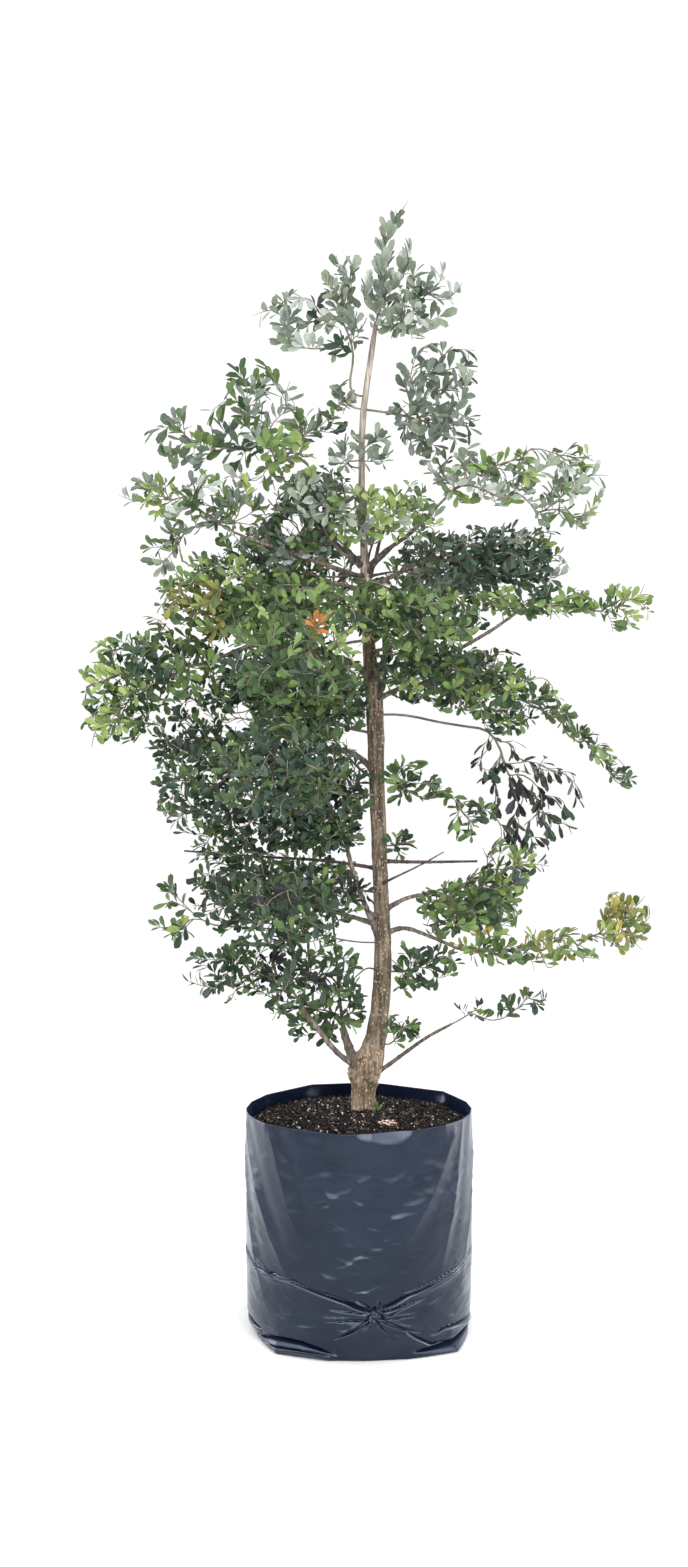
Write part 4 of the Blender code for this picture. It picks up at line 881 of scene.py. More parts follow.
SPOTS = [
    Spot(-0.353, 1.468, 0.035, "light", 0.7), Spot(0.493, 1.299, 0.035, "light", 0.8),
    Spot(-0.466, 1.202, 0.045, "light", 0.6), Spot(-0.44, 1.07, 0.04, "light", 0.6),
    Spot(0.355, 1.404, 0.04, "light", 0.7), Spot(0.268, 0.839, 0.045, "light", 0.5),
    Spot(0.062, 1.465, 0.045, "light", 0.7), Spot(-0.016, 1.255, 0.045, "light", 0.6),
    Spot(-0.104, 1.534, 0.035, "light", 0.6), Spot(-0.285, 1.299, 0.055, "olive", 0.7),
    Spot(-0.076, 1.259, 0.012, "rust", 1.0), Spot(0.468, 0.74, 0.055, "olive", 0.5),
    Spot(0.468, 0.74, 0.035, "gold", 0.4), Spot(0.206, 0.704, 0.025, "gold", 0.2),
    Spot(0.322, 0.665, 0.025, "gold", 0.2), Spot(0.194, 1.378, 0.05, "deep", 0.8),
    Spot(0.3, 1.352, 0.05, "deep", 0.8), Spot(-0.167, 0.937, 0.05, "deep", 0.8),
    Spot(-0.194, 0.901, 0.05, "deep", 0.8),
]

MASSES = {
    "leader_spire": Mass("trunk", 0.5, 1.0, "silver", [
        Lobe(0.048, 0.03, 1.848, 0.058, 0.055, 0.068, 0, 2.6), Lobe(0.058, 0.03, 1.95, 0.034, 0.035, 0.068)],
        droop=-0.8),
    "top_right": Mass(1.78, 0.62, 1.0, "grey", [
        Lobe(0.11, 0.0, 1.83, 0.068, 0.062, 0.062), Lobe(0.07, 0.0, 1.8, 0.045, 0.05, 0.04, 0, 2.4)]),
    "top_left": Mass(1.665, 0.75, 1.0, "grey", [
        Lobe(-0.03, 0.03, 1.795, 0.048, 0.05, 0.075), Lobe(-0.11, 0.04, 1.797, 0.064, 0.048, 0.058),
        Lobe(-0.025, 0.02, 1.87, 0.04, 0.04, 0.042)], [(-0.012, 0.04, 1.72)]),
    "upper_right_small": Mass(1.64, 0.72, 1.0, "grey", [
        Lobe(0.145, 0.05, 1.615, 0.07, 0.07, 0.07), Lobe(0.145, 0.06, 1.705, 0.075, 0.06, 0.06),
        Lobe(0.08, 0.03, 1.63, 0.035, 0.04, 0.035)]),
    "leader_tuft_high": Mass(1.64, 2.0, 0.8, "upper", [
        Lobe(-0.03, 0.03, 1.66, 0.036, 0.032, 0.032)]),
    "leader_tuft_low": Mass(1.54, 0.7, 1.0, "grey", [
        Lobe(-0.03, 0.02, 1.56, 0.036, 0.036, 0.05), Lobe(0.032, 0.0, 1.57, 0.028, 0.032, 0.05)]),
    "centre_top": Mass(1.4, 1.3, 0.85, "bright", [
        Lobe(-0.005, -0.035, 1.455, 0.07, 0.064, 0.052), Lobe(0.08, -0.03, 1.46, 0.066, 0.064, 0.05)]),
    "upper_right_arm": Mass("upper_right_bough", 0.85, 0.95, "pale", [
        Lobe(0.195, 0.0, 1.525, 0.08, 0.07, 0.052), Lobe(0.3, -0.01, 1.522, 0.085, 0.06, 0.052),
        Lobe(0.38, -0.02, 1.512, 0.044, 0.042, 0.065), Lobe(0.36, -0.02, 1.455, 0.06, 0.032, 0.026)]),
    "right_dark": Mass("right_dark_bough", 2.0, 0.8, "hazy", [
        Lobe(0.18, 0.08, 1.375, 0.105, 0.09, 0.06), Lobe(0.29, 0.08, 1.38, 0.08, 0.08, 0.066)]),
    "right_tip": Mass("right_tip_bough", 1.2, 0.85, "fresh", [
        Lobe(0.3, 0.0, 1.308, 0.085, 0.07, 0.036), Lobe(0.39, -0.01, 1.3, 0.058, 0.04, 0.026),
        Lobe(0.466, -0.02, 1.295, 0.054, 0.038, 0.042)]),
    "centre_front": Mass(1.215, 2.1, 0.78, "leafy", [
        Lobe(0.105, -0.1, 1.27, 0.095, 0.1, 0.062), Lobe(0.0, -0.12, 1.29, 0.075, 0.08, 0.05)]),
    "right_lower": Mass("right_lower_bough", 1.6, 0.78, "green", [
        Lobe(0.11, -0.02, 1.188, 0.085, 0.08, 0.055), Lobe(0.22, 0.0, 1.16, 0.085, 0.085, 0.062),
        Lobe(0.265, 0.0, 1.1, 0.045, 0.05, 0.04), Lobe(0.335, -0.02, 1.12, 0.064, 0.04, 0.032, 38),
        Lobe(0.4, -0.03, 1.06, 0.06, 0.032, 0.022, 42), Lobe(0.46, -0.03, 1.002, 0.044, 0.028, 0.022, 42)]),
    "hanging_dark": Mass(1.1, 0.8, 1.0, "charcoal", [
        Lobe(0.265, 0.1, 1.01, 0.055, 0.05, 0.048), Lobe(0.33, 0.09, 0.958, 0.075, 0.062, 0.08),
        Lobe(0.3, 0.09, 0.885, 0.06, 0.042, 0.034)], [(0.13, 0.11, 1.09), (0.22, 0.115, 1.075)], 0.9),
    "right_small": Mass(0.985, 0.8, 0.9, "green", [
        Lobe(0.085, 0.01, 0.985, 0.055, 0.052, 0.046), Lobe(0.165, 0.01, 0.958, 0.055, 0.026, 0.018, 15),
        Lobe(0.225, 0.0, 0.94, 0.038, 0.032, 0.024), Lobe(0.185, 0.0, 0.902, 0.045, 0.032, 0.032)]),
    "trunk_tuft_right": Mass(0.868, 2.0, 0.8, "green", [
        Lobe(0.072, 0.02, 0.872, 0.032, 0.032, 0.028)]),
    "right_arm_upper": Mass("right_arm_upper_bough", 1.3, 0.85, "leafy", [
        Lobe(0.17, 0.0, 0.76, 0.075, 0.07, 0.05), Lobe(0.24, 0.0, 0.795, 0.05, 0.05, 0.046),
        Lobe(0.275, -0.01, 0.838, 0.055, 0.046, 0.045), Lobe(0.215, 0.16, 0.74, 0.085, 0.1, 0.05)]),
    "right_arm_lower": Mass("right_arm_lower_bough", 1.0, 0.85, "golden", [
        Lobe(0.255, -0.02, 0.692, 0.095, 0.06, 0.04), Lobe(0.37, -0.03, 0.698, 0.065, 0.042, 0.032),
        Lobe(0.465, -0.03, 0.738, 0.048, 0.042, 0.052, 0, 2.4)]),
    "right_dark_small": Mass(0.64, 1.1, 0.85, "deep", [
        Lobe(0.12, 0.02, 0.658, 0.068, 0.05, 0.046), Lobe(0.085, 0.03, 0.615, 0.028, 0.026, 0.028)]),
    "right_low_spray": Mass("right_low_bough", 0.6, 0.9, "green", [
        Lobe(0.205, 0.005, 0.575, 0.046, 0.034, 0.032), Lobe(0.29, 0.0, 0.592, 0.05, 0.034, 0.032)]),
    "low_tuft_right": Mass(0.512, 2.0, 0.9, "fresh", [
        Lobe(0.078, 0.0, 0.545, 0.034, 0.03, 0.032)]),
    "upper_left": Mass("upper_left_bough", 0.44, 1.1, "upper", [
        Lobe(-0.16, 0.04, 1.59, 0.1, 0.1, 0.09), Lobe(-0.19, 0.03, 1.675, 0.052, 0.052, 0.066),
        Lobe(-0.3, 0.03, 1.59, 0.07, 0.052, 0.056), Lobe(-0.08, 0.03, 1.615, 0.06, 0.052, 0.042)]),
    "upper_left_outer": Mass("upper_left_outer_bough", 0.64, 0.95, "upper", [
        Lobe(-0.295, -0.02, 1.478, 0.095, 0.07, 0.058), Lobe(-0.365, -0.03, 1.495, 0.052, 0.042, 0.04),
        Lobe(-0.22, -0.02, 1.47, 0.055, 0.07, 0.055), Lobe(-0.34, 0.0, 1.385, 0.042, 0.042, 0.052)]),
    "upper_left_inner": Mass(1.382, 2.9, 0.85, "upper", [
        Lobe(-0.08, 0.02, 1.49, 0.07, 0.08, 0.056), Lobe(-0.125, 0.05, 1.412, 0.08, 0.08, 0.044)]),
    "left_mid": Mass("left_mid_bough", 2.7, 0.78, "fresh", [
        Lobe(-0.13, -0.07, 1.29, 0.11, 0.1, 0.06), Lobe(-0.255, -0.06, 1.308, 0.085, 0.09, 0.075)]),
    "far_left": Mass("far_left_bough", 1.4, 0.85, "leafy", [
        Lobe(-0.335, -0.04, 1.194, 0.098, 0.09, 0.08), Lobe(-0.44, -0.05, 1.15, 0.054, 0.056, 0.086),
        Lobe(-0.41, -0.05, 1.092, 0.052, 0.042, 0.032)]),
    "left_dense_upper": Mass(1.12, 2.9, 0.76, "green", [
        Lobe(-0.085, 0.0, 1.14, 0.1, 0.1, 0.078), Lobe(-0.215, 0.02, 1.145, 0.068, 0.08, 0.07)]),
    "left_dense_low": Mass("left_rising_bough", 2.9, 0.76, "deep", [
        Lobe(-0.07, -0.01, 0.968, 0.09, 0.09, 0.085), Lobe(-0.085, 0.0, 0.895, 0.09, 0.07, 0.036)]),
    "left_dense_outer": Mass("left_outer_bough", 1.3, 0.78, "deep", [
        Lobe(-0.252, 0.08, 0.978, 0.118, 0.11, 0.102), Lobe(-0.295, 0.05, 1.06, 0.085, 0.08, 0.066),
        Lobe(-0.215, 0.05, 0.88, 0.085, 0.07, 0.05)]),
    "left_lower": Mass("left_lower_bough", 1.5, 0.78, "deep", [
        Lobe(-0.098, 0.0, 0.784, 0.115, 0.1, 0.06), Lobe(-0.235, -0.01, 0.795, 0.075, 0.08, 0.08),
        Lobe(-0.13, -0.17, 0.778, 0.095, 0.095, 0.06)]),
    "left_outer_spray": Mass(0.69, 0.4, 0.9, "green", [
        Lobe(-0.318, 0.0, 0.775, 0.054, 0.042, 0.046), Lobe(-0.335, 0.0, 0.718, 0.055, 0.036, 0.032)],
        [(-0.06, 0.04, 0.705), (-0.17, 0.02, 0.722), (-0.245, 0.005, 0.728)]),
    "lower_left": Mass("low_left_bough", 1.1, 0.8, "deep", [
        Lobe(-0.12, -0.03, 0.66, 0.118, 0.085, 0.076), Lobe(-0.24, -0.03, 0.655, 0.066, 0.056, 0.052)]),
    "lowest_left": Mass("low_left_riser", 0.9, 0.85, "green", [
        Lobe(-0.075, 0.06, 0.568, 0.085, 0.064, 0.062), Lobe(-0.012, 0.04, 0.59, 0.038, 0.04, 0.06)]),
    "front_upper_left": Mass(1.235, 1.6, 0.76, "green", [
        Lobe(-0.11, -0.27, 1.215, 0.105, 0.105, 0.072)]),
    "front_mid_left": Mass(0.96, 2.1, 0.76, "deep", [
        Lobe(-0.13, -0.24, 1.03, 0.1, 0.11, 0.082)]),
    "back_upper_right": Mass(1.3, 1.0, 0.9, "green", [
        Lobe(0.16, 0.255, 1.32, 0.11, 0.115, 0.085)]),
    "back_upper_left": Mass(1.292, 1.0, 0.9, "green", [
        Lobe(-0.14, 0.25, 1.37, 0.118, 0.115, 0.095)]),
    "back_mid_left": Mass(1.07, 1.0, 0.9, "green", [
        Lobe(-0.12, 0.29, 1.13, 0.12, 0.125, 0.1)]),
    "back_mid_right": Mass(1.16, 1.0, 0.9, "green", [
        Lobe(0.165, 0.235, 1.165, 0.095, 0.105, 0.052)]),
    "back_low_left": Mass(0.78, 0.6, 0.9, "green", [
        Lobe(-0.13, 0.245, 0.775, 0.115, 0.115, 0.07)]),
}


def bough_line(bough):
    """A bough's centres and radii, as its solid has them."""
    route = smooth_route(bough.route, 2)
    radii = bough.foot_radius + (bough.tip_radius - bough.foot_radius) * np.linspace(0, 1, len(route))
    return route, radii


def lobe_matrix(lobe):
    """Turns a point, taken from the lobe's centre, into lobe radii."""
    lean = math.radians(lobe.lean)
    turn = np.array([[math.cos(lean), 0, -math.sin(lean)], [0, 1, 0], [math.sin(lean), 0, math.cos(lean)]])
    return turn / np.array([[lobe.wide], [lobe.deep], [lobe.tall]])


def lobe_area(lobe):
    """Surface of the lobe, close enough."""
    wide, deep, tall = lobe.wide, lobe.deep, lobe.tall
    mean = ((wide * deep) ** 1.6 + (wide * tall) ** 1.6 + (deep * tall) ** 1.6) / 3
    return 4 * math.pi * mean ** (1 / 1.6)


LOBES = [(name, lobe) for name, mass in MASSES.items() for lobe in mass.lobes]
LOBE_OWNERS = np.array([name for name, _ in LOBES])
LOBE_CENTRES = np.array([lobe[:3] for _, lobe in LOBES])
LOBE_MATRICES = np.array([lobe_matrix(lobe) for _, lobe in LOBES])
LIMBS = [(stations[:, :3], stations[:, 3])] + [bough_line(bough) for bough in BOUGHS.values()]
LIMB_STARTS = np.concatenate([route[:-1] for route, _ in LIMBS])
LIMB_WAYS = np.concatenate([np.diff(route, axis=0) for route, _ in LIMBS])
LIMB_RADII = np.concatenate([radii[:-1] for _, radii in LIMBS])


def seen(points):
    """Side and height at which the eye sees the points, on the upright plane through the origin."""
    offset = points - EYE
    return EYE[[0, 2]] + offset[..., [0, 2]] * (-EYE[1] / offset[..., 1])[..., None]


def in_space(name, points, limit):
    """True for each point in the named mass's own space."""
    offsets = points[:, None, :] - LOBE_CENTRES[None]
    distances = np.linalg.norm(np.einsum("lij,plj->pli", LOBE_MATRICES, offsets), axis=2)
    own = LOBE_OWNERS == name
    nearest, others = distances[:, own].min(axis=1), distances[:, ~own].min(axis=1)
    return (nearest < limit) & (nearest < others)


def off_limbs(points):
    """True for each point clear of the trunk and the boughs."""
    offset = points[:, None, :] - LIMB_STARTS[None]
    along = np.einsum("pli,li->pl", offset, LIMB_WAYS) / np.einsum("li,li->l", LIMB_WAYS, LIMB_WAYS)
    near = offset - np.clip(along, 0, 1)[..., None] * LIMB_WAYS[None]
    return (np.linalg.norm(near, axis=2) - LIMB_RADII).min(axis=1) > LIMB_CLEARANCE


def in_box(points):
    """True for each point inside the solids' own box, or just past it."""
    low, high = np.array(cad_box)
    return ((points > low - BOX_MARGIN) & (points < high + BOX_MARGIN)).all(axis=1)


def in_window(points):
    """True for each point that would close one of the crown's open places."""
    flat = seen(points)
    closed = np.zeros(len(points), bool)
    for side, height, radius in WINDOWS:
        closed |= np.hypot(flat[:, 0] - side, flat[:, 1] - height) < radius
    return closed


def unit(vectors):
    """The vectors at length one."""
    return vectors / np.maximum(np.linalg.norm(vectors, axis=-1, keepdims=True), 1e-9)


def stem_start(mass):
    """Where a mass's stem starts, its direction, and its radius there."""
    first = np.array(mass.route[0] if mass.route else mass.lobes[0][:3])
    centres, widths = stations[:, :3], stations[:, 3]
    if mass.foot == "trunk":
        return centres[-1], unit(centres[-1] - centres[-2]), widths[-1]
    if isinstance(mass.foot, str):
        route, bough_radii = bough_line(BOUGHS[mass.foot])
        return route[-1], unit(route[-1] - route[-2]), bough_radii[-1]
    index = np.searchsorted(centres[:, 2], mass.foot)
    axis = unit(centres[index] - centres[index - 1])
    out = first - centres[index]
    heading = unit(out - axis * out.dot(axis))
    return centres[index] + heading * (0.7 * widths[index]), heading, None


def easy_way(start, heading, length, target, steps):
    """Places on a soft curve that leaves the start along the heading and ends at the target."""
    bend = start + heading * (TWIG_BEND * length)
    parts = np.arange(1, steps + 1)[:, None] / steps
    return start * (1 - parts) ** 2 + bend * (2 * parts * (1 - parts)) + target * parts ** 2


def stem_route(mass):
    """The bare stem from its foot to the middle of the first lobe."""
    start, heading, _ = stem_start(mass)
    places = [start, start + heading * STEM_START]
    for target in [*mass.route, mass.lobes[0][:3]]:
        start, heading = places[-1], unit(places[-1] - places[-2])
        places += list(easy_way(start, heading, np.linalg.norm(target - start), np.array(target), STEM_STEPS))
    return places


def even_directions(count, turn):
    """Directions spread evenly over a ball, turned about the upright axis."""
    index = np.arange(count)
    height = 1 - (2 * index + 1) / count
    angle = turn + index * math.pi * (3 - math.sqrt(5))
    flat = np.sqrt(1 - height ** 2)
    return np.stack([flat * np.cos(angle), flat * np.sin(angle), height], 1)


def tip_places(mass, chance):
    """Twig ends on shells inside each lobe: place, outward direction, share of the radius."""
    tips = []
    for lobe in mass.lobes:
        inverse, centre = np.linalg.inv(lobe_matrix(lobe)), np.array(lobe[:3])
        ragged = RAGGED[abs(lobe.depth) > FAR_OUT]
        for share, density in SHELLS:
            count = lobe_area(lobe) * share ** 2 * TIPS_PER_AREA * mass.fullness * lobe.fuller * density
            for direction in even_directions(round(count), chance.uniform(0, math.tau)):
                swell = 1 + ragged * noise.noise(Vector(direction * 1.8) + Vector(centre) * 40)
                surface = inverse @ direction * share * swell
                length = np.linalg.norm(surface)
                inward = max(0.15, 1 - chance.uniform(*TIP_DEPTH) / length)
                scatter = np.array([chance.gauss(0, TIP_SCATTER) for _ in range(3)])
                tips.append((centre + surface * inward + scatter, surface / length, share))
    return tips


def grow_twigs(name, mass, chance):
    """Joins every tip to the twigs; gives points, parents, chains of points, and the twigs' ends."""
    points = stem_route(mass)
    parents = [index - 1 for index in range(len(points))]
    ways = [0.0]
    for before, after in zip(points, points[1:]):
        ways.append(ways[-1] + np.linalg.norm(after - before))
    chains = [list(range(len(points)))]
    usable = len(points) // 2
    ends = []
    tips = sorted(tip_places(mass, chance), key=lambda tip: np.linalg.norm(tip[0] - points[0]))
    for target, outward, share in tips:
        distances = np.linalg.norm(np.array(points[usable:]) - target, axis=1)
        order = np.argsort(distances + DETOUR_COST * np.array(ways[usable:]))[:TWIG_TRIES]
        for choice in order:
            root, length = usable + int(choice), distances[choice]
            if length < TWIG_SHORTEST:
                continue
            heading = unit(points[root] - points[parents[root]])
            places = easy_way(points[root], heading, length, target, TWIG_STEPS)
            if not (in_space(name, places, TWIG_LIMIT).all() and off_limbs(places).all()):
                continue
            chain = [root]
            for place in places:
                ways.append(ways[chain[-1]] + np.linalg.norm(place - points[chain[-1]]))
                parents.append(chain[-1])
                chain.append(len(points))
                points.append(place)
            chains.append(chain)
            ends.append((chain, outward, share))
            break
    return points, parents, chains, ends


def twig_rings(points, parents, chains, ends, foot_radius):
    """Rings round every twig, thicker where it carries more ends."""
    carried = np.zeros(len(points))
    for chain, _, _ in ends:
        index = chain[-1]
        while index >= 0:
            carried[index] += 1
            index = parents[index]
    radii = TWIG_TIP * np.maximum(carried, 1) ** TWIG_GROWTH
    limbs = []
    for chain in chains:
        centres = np.array([points[index] for index in chain])
        widths = radii[chain]
        if chain is chains[0]:
            widths = np.minimum(widths, foot_radius or 1)
        else:
            widths = np.concatenate([[widths[1]], widths[1:]])
            widths[-1] *= 0.6
        limbs.append(limb_rings(centres, widths, TWIG_SIDES, lambda centre, out, radius: 0.0))
    return limbs


# place along the leaf, and share of its half width there
LEAF_STATIONS = np.array([(0.15, 0.22), (0.52, 0.90), (0.85, 0.84)])
LEAF_PROBES = [4, 6, 7, 9, 10]     # the outline's points at its middle and near its end, and its tip


def leaf_template():
    """Along, across and thickness for the points of one leaf, and its upper and lower faces."""
    points = [(0, 0, 0)]
    for along, half in LEAF_STATIONS:
        points += [(along, -half, 0), (along, 0, 0), (along, half, 0)]
    tip = len(points)
    points += [(1, 0, 0)] + [(along, 0, -1) for along, _ in LEAF_STATIONS]
    upper, last = [(0, 2, 1), (0, 3, 2)], tip - 3
    for left in range(1, last, 3):
        upper += [(left, left + 1, left + 4, left + 3), (left + 1, left + 2, left + 5, left + 4)]
    upper += [(last, last + 1, tip), (last + 1, last + 2, tip)]
    under = {2 + 3 * index: tip + 1 + index for index in range(len(LEAF_STATIONS))}
    lower = [tuple(under.get(corner, corner) for corner in reversed(face)) for face in upper]
    return np.array(points, float), upper, lower


TEMPLATE, UPPER_FACES, LOWER_FACES = leaf_template()


def leaf_points(feet, headings, faces, lengths, widths, folds, curls):
    """The points of many leaves: arrays over leaves by points by axes."""
    along, across, under = TEMPLATE.T
    sideways = np.cross(headings, faces)
    half = 0.5 * (lengths * widths)[:, None] * across[None]
    lift = np.abs(half) * np.sin(folds)[:, None]
    thick = LEAF_THICKNESS * lengths[:, None] * under[None]
    sink = -lengths[:, None] * curls[:, None] * along[None] ** 2 + thick
    return (feet[:, None] + headings[:, None] * (lengths[:, None] * along)[..., None]
            + sideways[:, None] * (half * np.cos(folds)[:, None])[..., None]
            + faces[:, None] * (lift + sink)[..., None])


def leaf_feet(mass, points, ends, chance):
    """Feet for leaves round the last stretch of every twig, each with the turn and rank it has there."""
    feet = []
    number = LEAVES_PER_TWIG if mass.droop <= 0 else HANGING_LEAVES
    apart = 1 + 1.8 * max(0, mass.droop)
    for spray, (chain, outward, _) in enumerate(ends):
        route = np.array([points[index] for index in chain])[::-1]
        steps = np.linalg.norm(np.diff(route, axis=0), axis=1)
        way = np.concatenate([[0], np.cumsum(steps)])
        place, turn = 0.0004, chance.uniform(0, math.tau)
        for rank in range(number):
            if place > 0.88 * way[-1]:
                break
            step = min(int(np.searchsorted(way, place, side="right")) - 1, len(steps) - 1)
            part = (place - way[step]) / steps[step]
            foot = route[step] * (1 - part) + route[step + 1] * part
            feet.append((foot, unit(route[step] - route[step + 1]), outward, turn, rank, spray))
            turn += math.radians(LEAF_TURN) + chance.gauss(0, 0.25)
            place += chance.uniform(*LEAF_SPACING) * (0.45 if rank < 2 else 1) * apart
    return [np.array(column) for column in zip(*feet)]


def set_leaves(name, mass, points, ends, chance):
    """Leaves on all their feet, turned until they find room: their points, and each one's spray."""
    feet, axes, outwards, turns, ranks, sprays = leaf_feet(mass, points, ends, chance)
    limit = LEAF_LIMIT + 0.3 * max(0, mass.droop) + 0.05 * (mass.fullness > 2.5)
    limit += 0.15 * (abs(mass.lobes[0].depth) > FAR_OUT)
    dice = np.random.default_rng(chance.randrange(10 ** 6))
    waiting = np.arange(len(feet))
    kept, kept_sprays = [], []
    for attempt in range(LEAF_TRIES):
        count = len(waiting)
        if not count:
            break
        axis, outward, rank = axes[waiting], outwards[waiting], ranks[waiting]
        helper = np.where(np.abs(axis[:, 2:]) > 0.9, np.array([[1.0, 0, 0]]), np.array([[0, 0, 1.0]]))
        side = unit(np.cross(axis, helper))
        other = np.cross(axis, side)
        turn = turns[waiting] + attempt * dice.uniform(1, 2, count)
        aside = side * np.cos(turn)[:, None] + other * np.sin(turn)[:, None]
        spread = np.radians(dice.uniform(*LEAF_SPREAD, count) + np.minimum(rank, 4) * SPREAD_STEP)
        heading = axis * np.cos(spread)[:, None] + aside * np.sin(spread)[:, None]
        heading = unit(heading + 0.22 * outward + np.array([0, 0, 0.20 - 1.3 * mass.droop]))
        facing = unit(0.75 * outward + TO_LIGHT + dice.normal(0, 0.38, (count, 3)))
        face = unit(facing - heading * np.einsum("ni,ni->n", facing, heading)[:, None])
        length = mass.leaf * dice.uniform(*LEAF_LENGTH, count) * np.where(rank == 0, LAST_LEAF, 1.0)
        placed = leaf_points(feet[waiting], heading, face, length, dice.uniform(*LEAF_WIDTH, count),
                             np.radians(dice.uniform(*LEAF_FOLD, count)), dice.uniform(*LEAF_CURL, count))
        probe = placed[:, LEAF_PROBES].reshape(-1, 3)
        good = in_space(name, probe, limit) & in_box(probe) & off_limbs(probe) & ~in_window(probe)
        good = good.reshape(count, -1).all(axis=1)
        kept.append(placed[good])
        kept_sprays.append(sprays[waiting[good]])
        waiting = waiting[~good]
    return np.concatenate(kept), np.concatenate(kept_sprays)


def spray_tint(mass, place, share, chance):
    """The tint of one spray: by its mass, by how deep it sits, and by the spots of the crown."""
    side, height = seen(place)
    for spot in SPOTS:
        if math.hypot(side - spot.side, height - spot.height) < spot.radius and chance.random() < spot.share:
            return spot.tint
    mix = MIXES[mass.tints]
    tint = chance.choices(list(mix), list(mix.values()))[0]
    if tint in LADDER[1:]:
        step = LADDER.index(tint)
        if share == 1 and chance.random() < SUNLIT:
            step = min(step + 1, len(LADDER) - 1)
        if share < 1 and chance.random() < SHADED:
            step = max(step - 1, 1)
        tint = LADDER[step]
    return tint


def leaf_finish(name, colour):
    """The two finishes of one tint: the glossy upper side and the dull, paler underside."""
    shades = [(stop, tuple(light * part for part in colour)) for stop, light in ((0.30, 0.74), (0.70, 1.20))]
    upper = mottled_finish("leaf_" + name, colour, 0.40, 60, shades, 0.28, 3.0)
    pale = tuple(0.70 * part + 0.30 * grey for part, grey in zip(colour, (0.12, 0.16, 0.09)))
    return upper, finish("leaf_" + name + "_under", pale, 0.62, 0.15)[0]


def leaves_mesh(name, placed, sprays, tints, finishes):
    """All the leaves of a mass as one mesh, each spray in its tint."""
    used = sorted({tints[spray] for spray in sprays})
    faces, indices = [], []
    for leaf, spray in enumerate(sprays):
        start, slot = leaf * len(TEMPLATE), 2 * used.index(tints[spray])
        faces += [tuple(start + corner for corner in face) for face in UPPER_FACES + LOWER_FACES]
        indices += [slot] * len(UPPER_FACES) + [slot + 1] * len(LOWER_FACES)
    mesh = new_mesh(name, placed.reshape(-1, 3), faces, indices)
    return mesh, [side for tint in used for side in finishes[tint]]


twig_bark = bark_finish("young_twig_bark", (0.13, 0.115, 0.085), (0.23, 0.20, 0.155), (0.33, 0.30, 0.24),
                        420, 0.0005)
finishes = {name: leaf_finish(name, colour) for name, colour in TINTS.items()}
for seed, (name, mass) in enumerate(MASSES.items()):
    chance = random.Random(FIRST_SEED + seed)
    points, parents, chains, ends = grow_twigs(name, mass, chance)
    rings = twig_rings(points, parents, chains, ends, stem_start(mass)[2])
    show(name + "_twigs", joined(name + "_twigs", rings), [twig_bark], [name + "_leaves"])
    placed, sprays = set_leaves(name, mass, points, ends, chance)
    tints = [spray_tint(mass, points[chain[-1]], share, chance) for chain, _, share in ends]
    mesh, materials = leaves_mesh(name + "_foliage", placed, sprays, tints, finishes)
    show(name + "_foliage", mesh, materials, [name + "_leaves"])
    mesh.set_sharp_from_angle(angle=math.radians(40))

# ------------------------------------------------------------------ the seedling
# Four small leaves of a seedling that has come up at the right of the trunk's foot. Its stem is too
# short to show.
feet = np.array([(0.031, 0.018, 0.385), (0.032, 0.019, 0.389), (0.030, 0.020, 0.392), (0.034, 0.018, 0.388)])
headings = unit(np.array([(-0.5, -0.4, 0.7), (0.5, -0.5, 0.7), (0.1, -0.2, 1.0), (1.0, -0.3, 0.25)]))
faces = np.array([(0.0, -0.9, 0.3), (0.2, -0.9, 0.3), (0.0, -1.0, 0.1), (-0.1, -0.6, 0.9)])
faces = unit(faces - headings * np.einsum("ni,ni->n", faces, headings)[:, None])
sprout = leaf_points(feet, headings, faces, np.array([0.013, 0.015, 0.016, 0.014]), np.full(4, 0.62),
                     np.full(4, 0.2), np.full(4, 0.1))
mesh, materials = leaves_mesh("foot_sprout", sprout, np.arange(4), ["mid", "fresh", "mid", "dark"], finishes)
show("foot_sprout", mesh, materials, [])

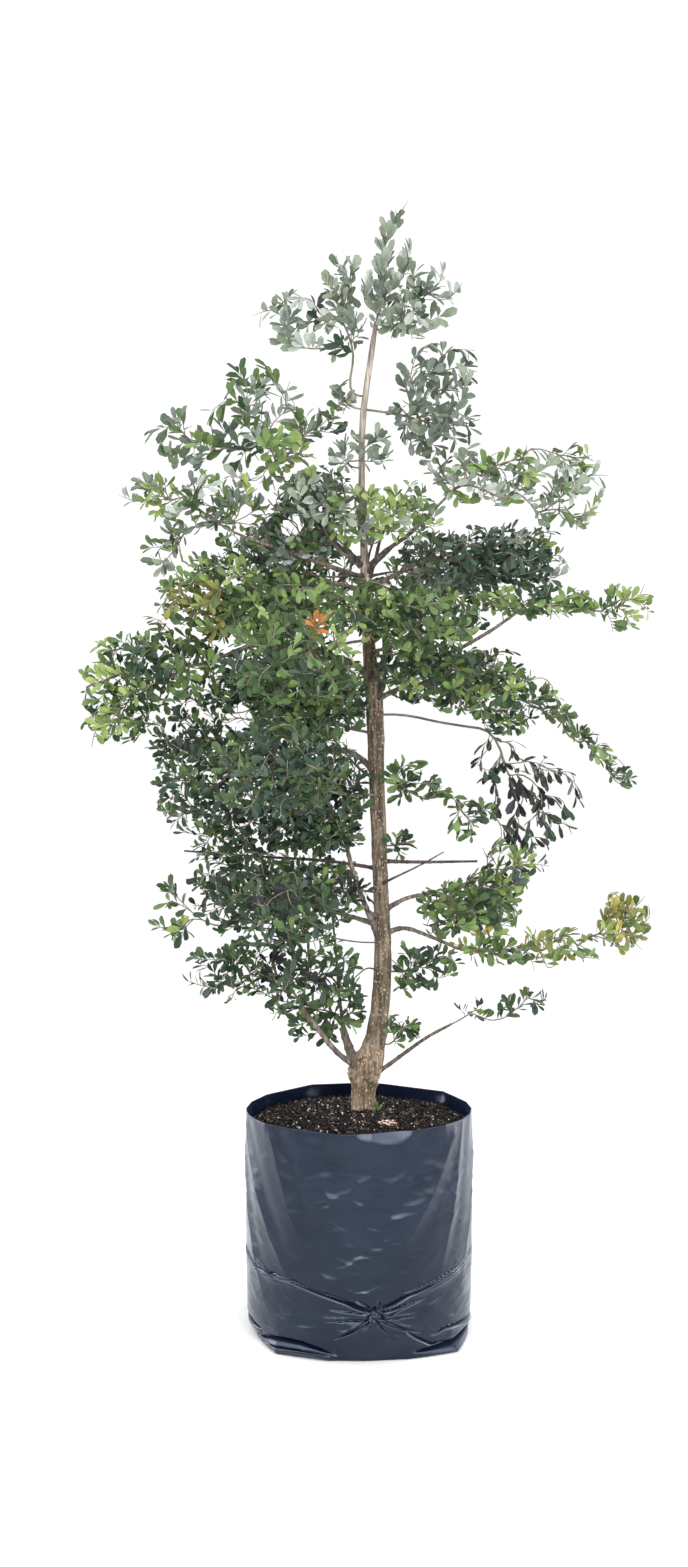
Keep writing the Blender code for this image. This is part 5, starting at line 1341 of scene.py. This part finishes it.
# ------------------------------------------------------------------ the studio
# A pale floor that runs out of sight and a soft white room, with one panel high at the front for the
# crown, a wide low one before the bag and one each side of it. The camera stands above half height.
FLOOR_REACH = 40
FLOOR_LEVEL = -0.0006
CAMERA_DROP = 4.92                 # degrees below level
corners = [(x * FLOOR_REACH, y * FLOOR_REACH, FLOOR_LEVEL) for x, y in ((-1, -1), (1, -1), (1, 1), (-1, 1))]
scene = bpy.context.scene
floor = bpy.data.objects.new("floor", new_mesh("floor", corners, [(0, 1, 2, 3)]))
scene.collection.objects.link(floor)
floor.data.materials.append(finish("white_floor", (0.93, 0.93, 0.93), 0.9)[0])

world = bpy.data.worlds.new("soft_white")
world.use_nodes = True
sky = world.node_tree.nodes["Background"]
sky.inputs["Color"].default_value = (1.0, 1.0, 1.0, 1)
sky.inputs["Strength"].default_value = 1.08
scene.world = world


def soft_light(name, place, target, wide, tall, power):
    """A broad white panel aimed at the plant."""
    panel = bpy.data.lights.new(name, "AREA")
    panel.shape = "RECTANGLE"
    panel.size, panel.size_y = wide, tall
    panel.energy = power
    lamp = bpy.data.objects.new(name, panel)
    lamp.location = place
    lamp.rotation_euler = (Vector(target) - Vector(place)).to_track_quat("-Z", "Y").to_euler()
    lamp.visible_camera = False
    scene.collection.objects.link(lamp)


soft_light("key_light", (0.5, -3.3, 2.9), (0, 0, 0.6), 3.8, 1.7, 100)
soft_light("front_panel", (0, -3.7, 1.65), (0, 0, 0.2), 6.4, 1.2, 54)
soft_light("left_panel", (-2.4, 0.9, 0.9), (0, 0, 0.3), 1.4, 1.7, 30)
soft_light("right_panel", (2.4, 0.9, 0.9), (0, 0, 0.3), 1.4, 1.7, 30)

lens = bpy.data.cameras.new("camera")
lens.lens = 50
lens.sensor_width = 36
camera = bpy.data.objects.new("camera", lens)
camera.location = tuple(EYE)
camera.rotation_euler = (math.radians(90 - CAMERA_DROP), 0, 0)
scene.collection.objects.link(camera)
scene.camera = camera
scene.view_settings.view_transform = "Standard"
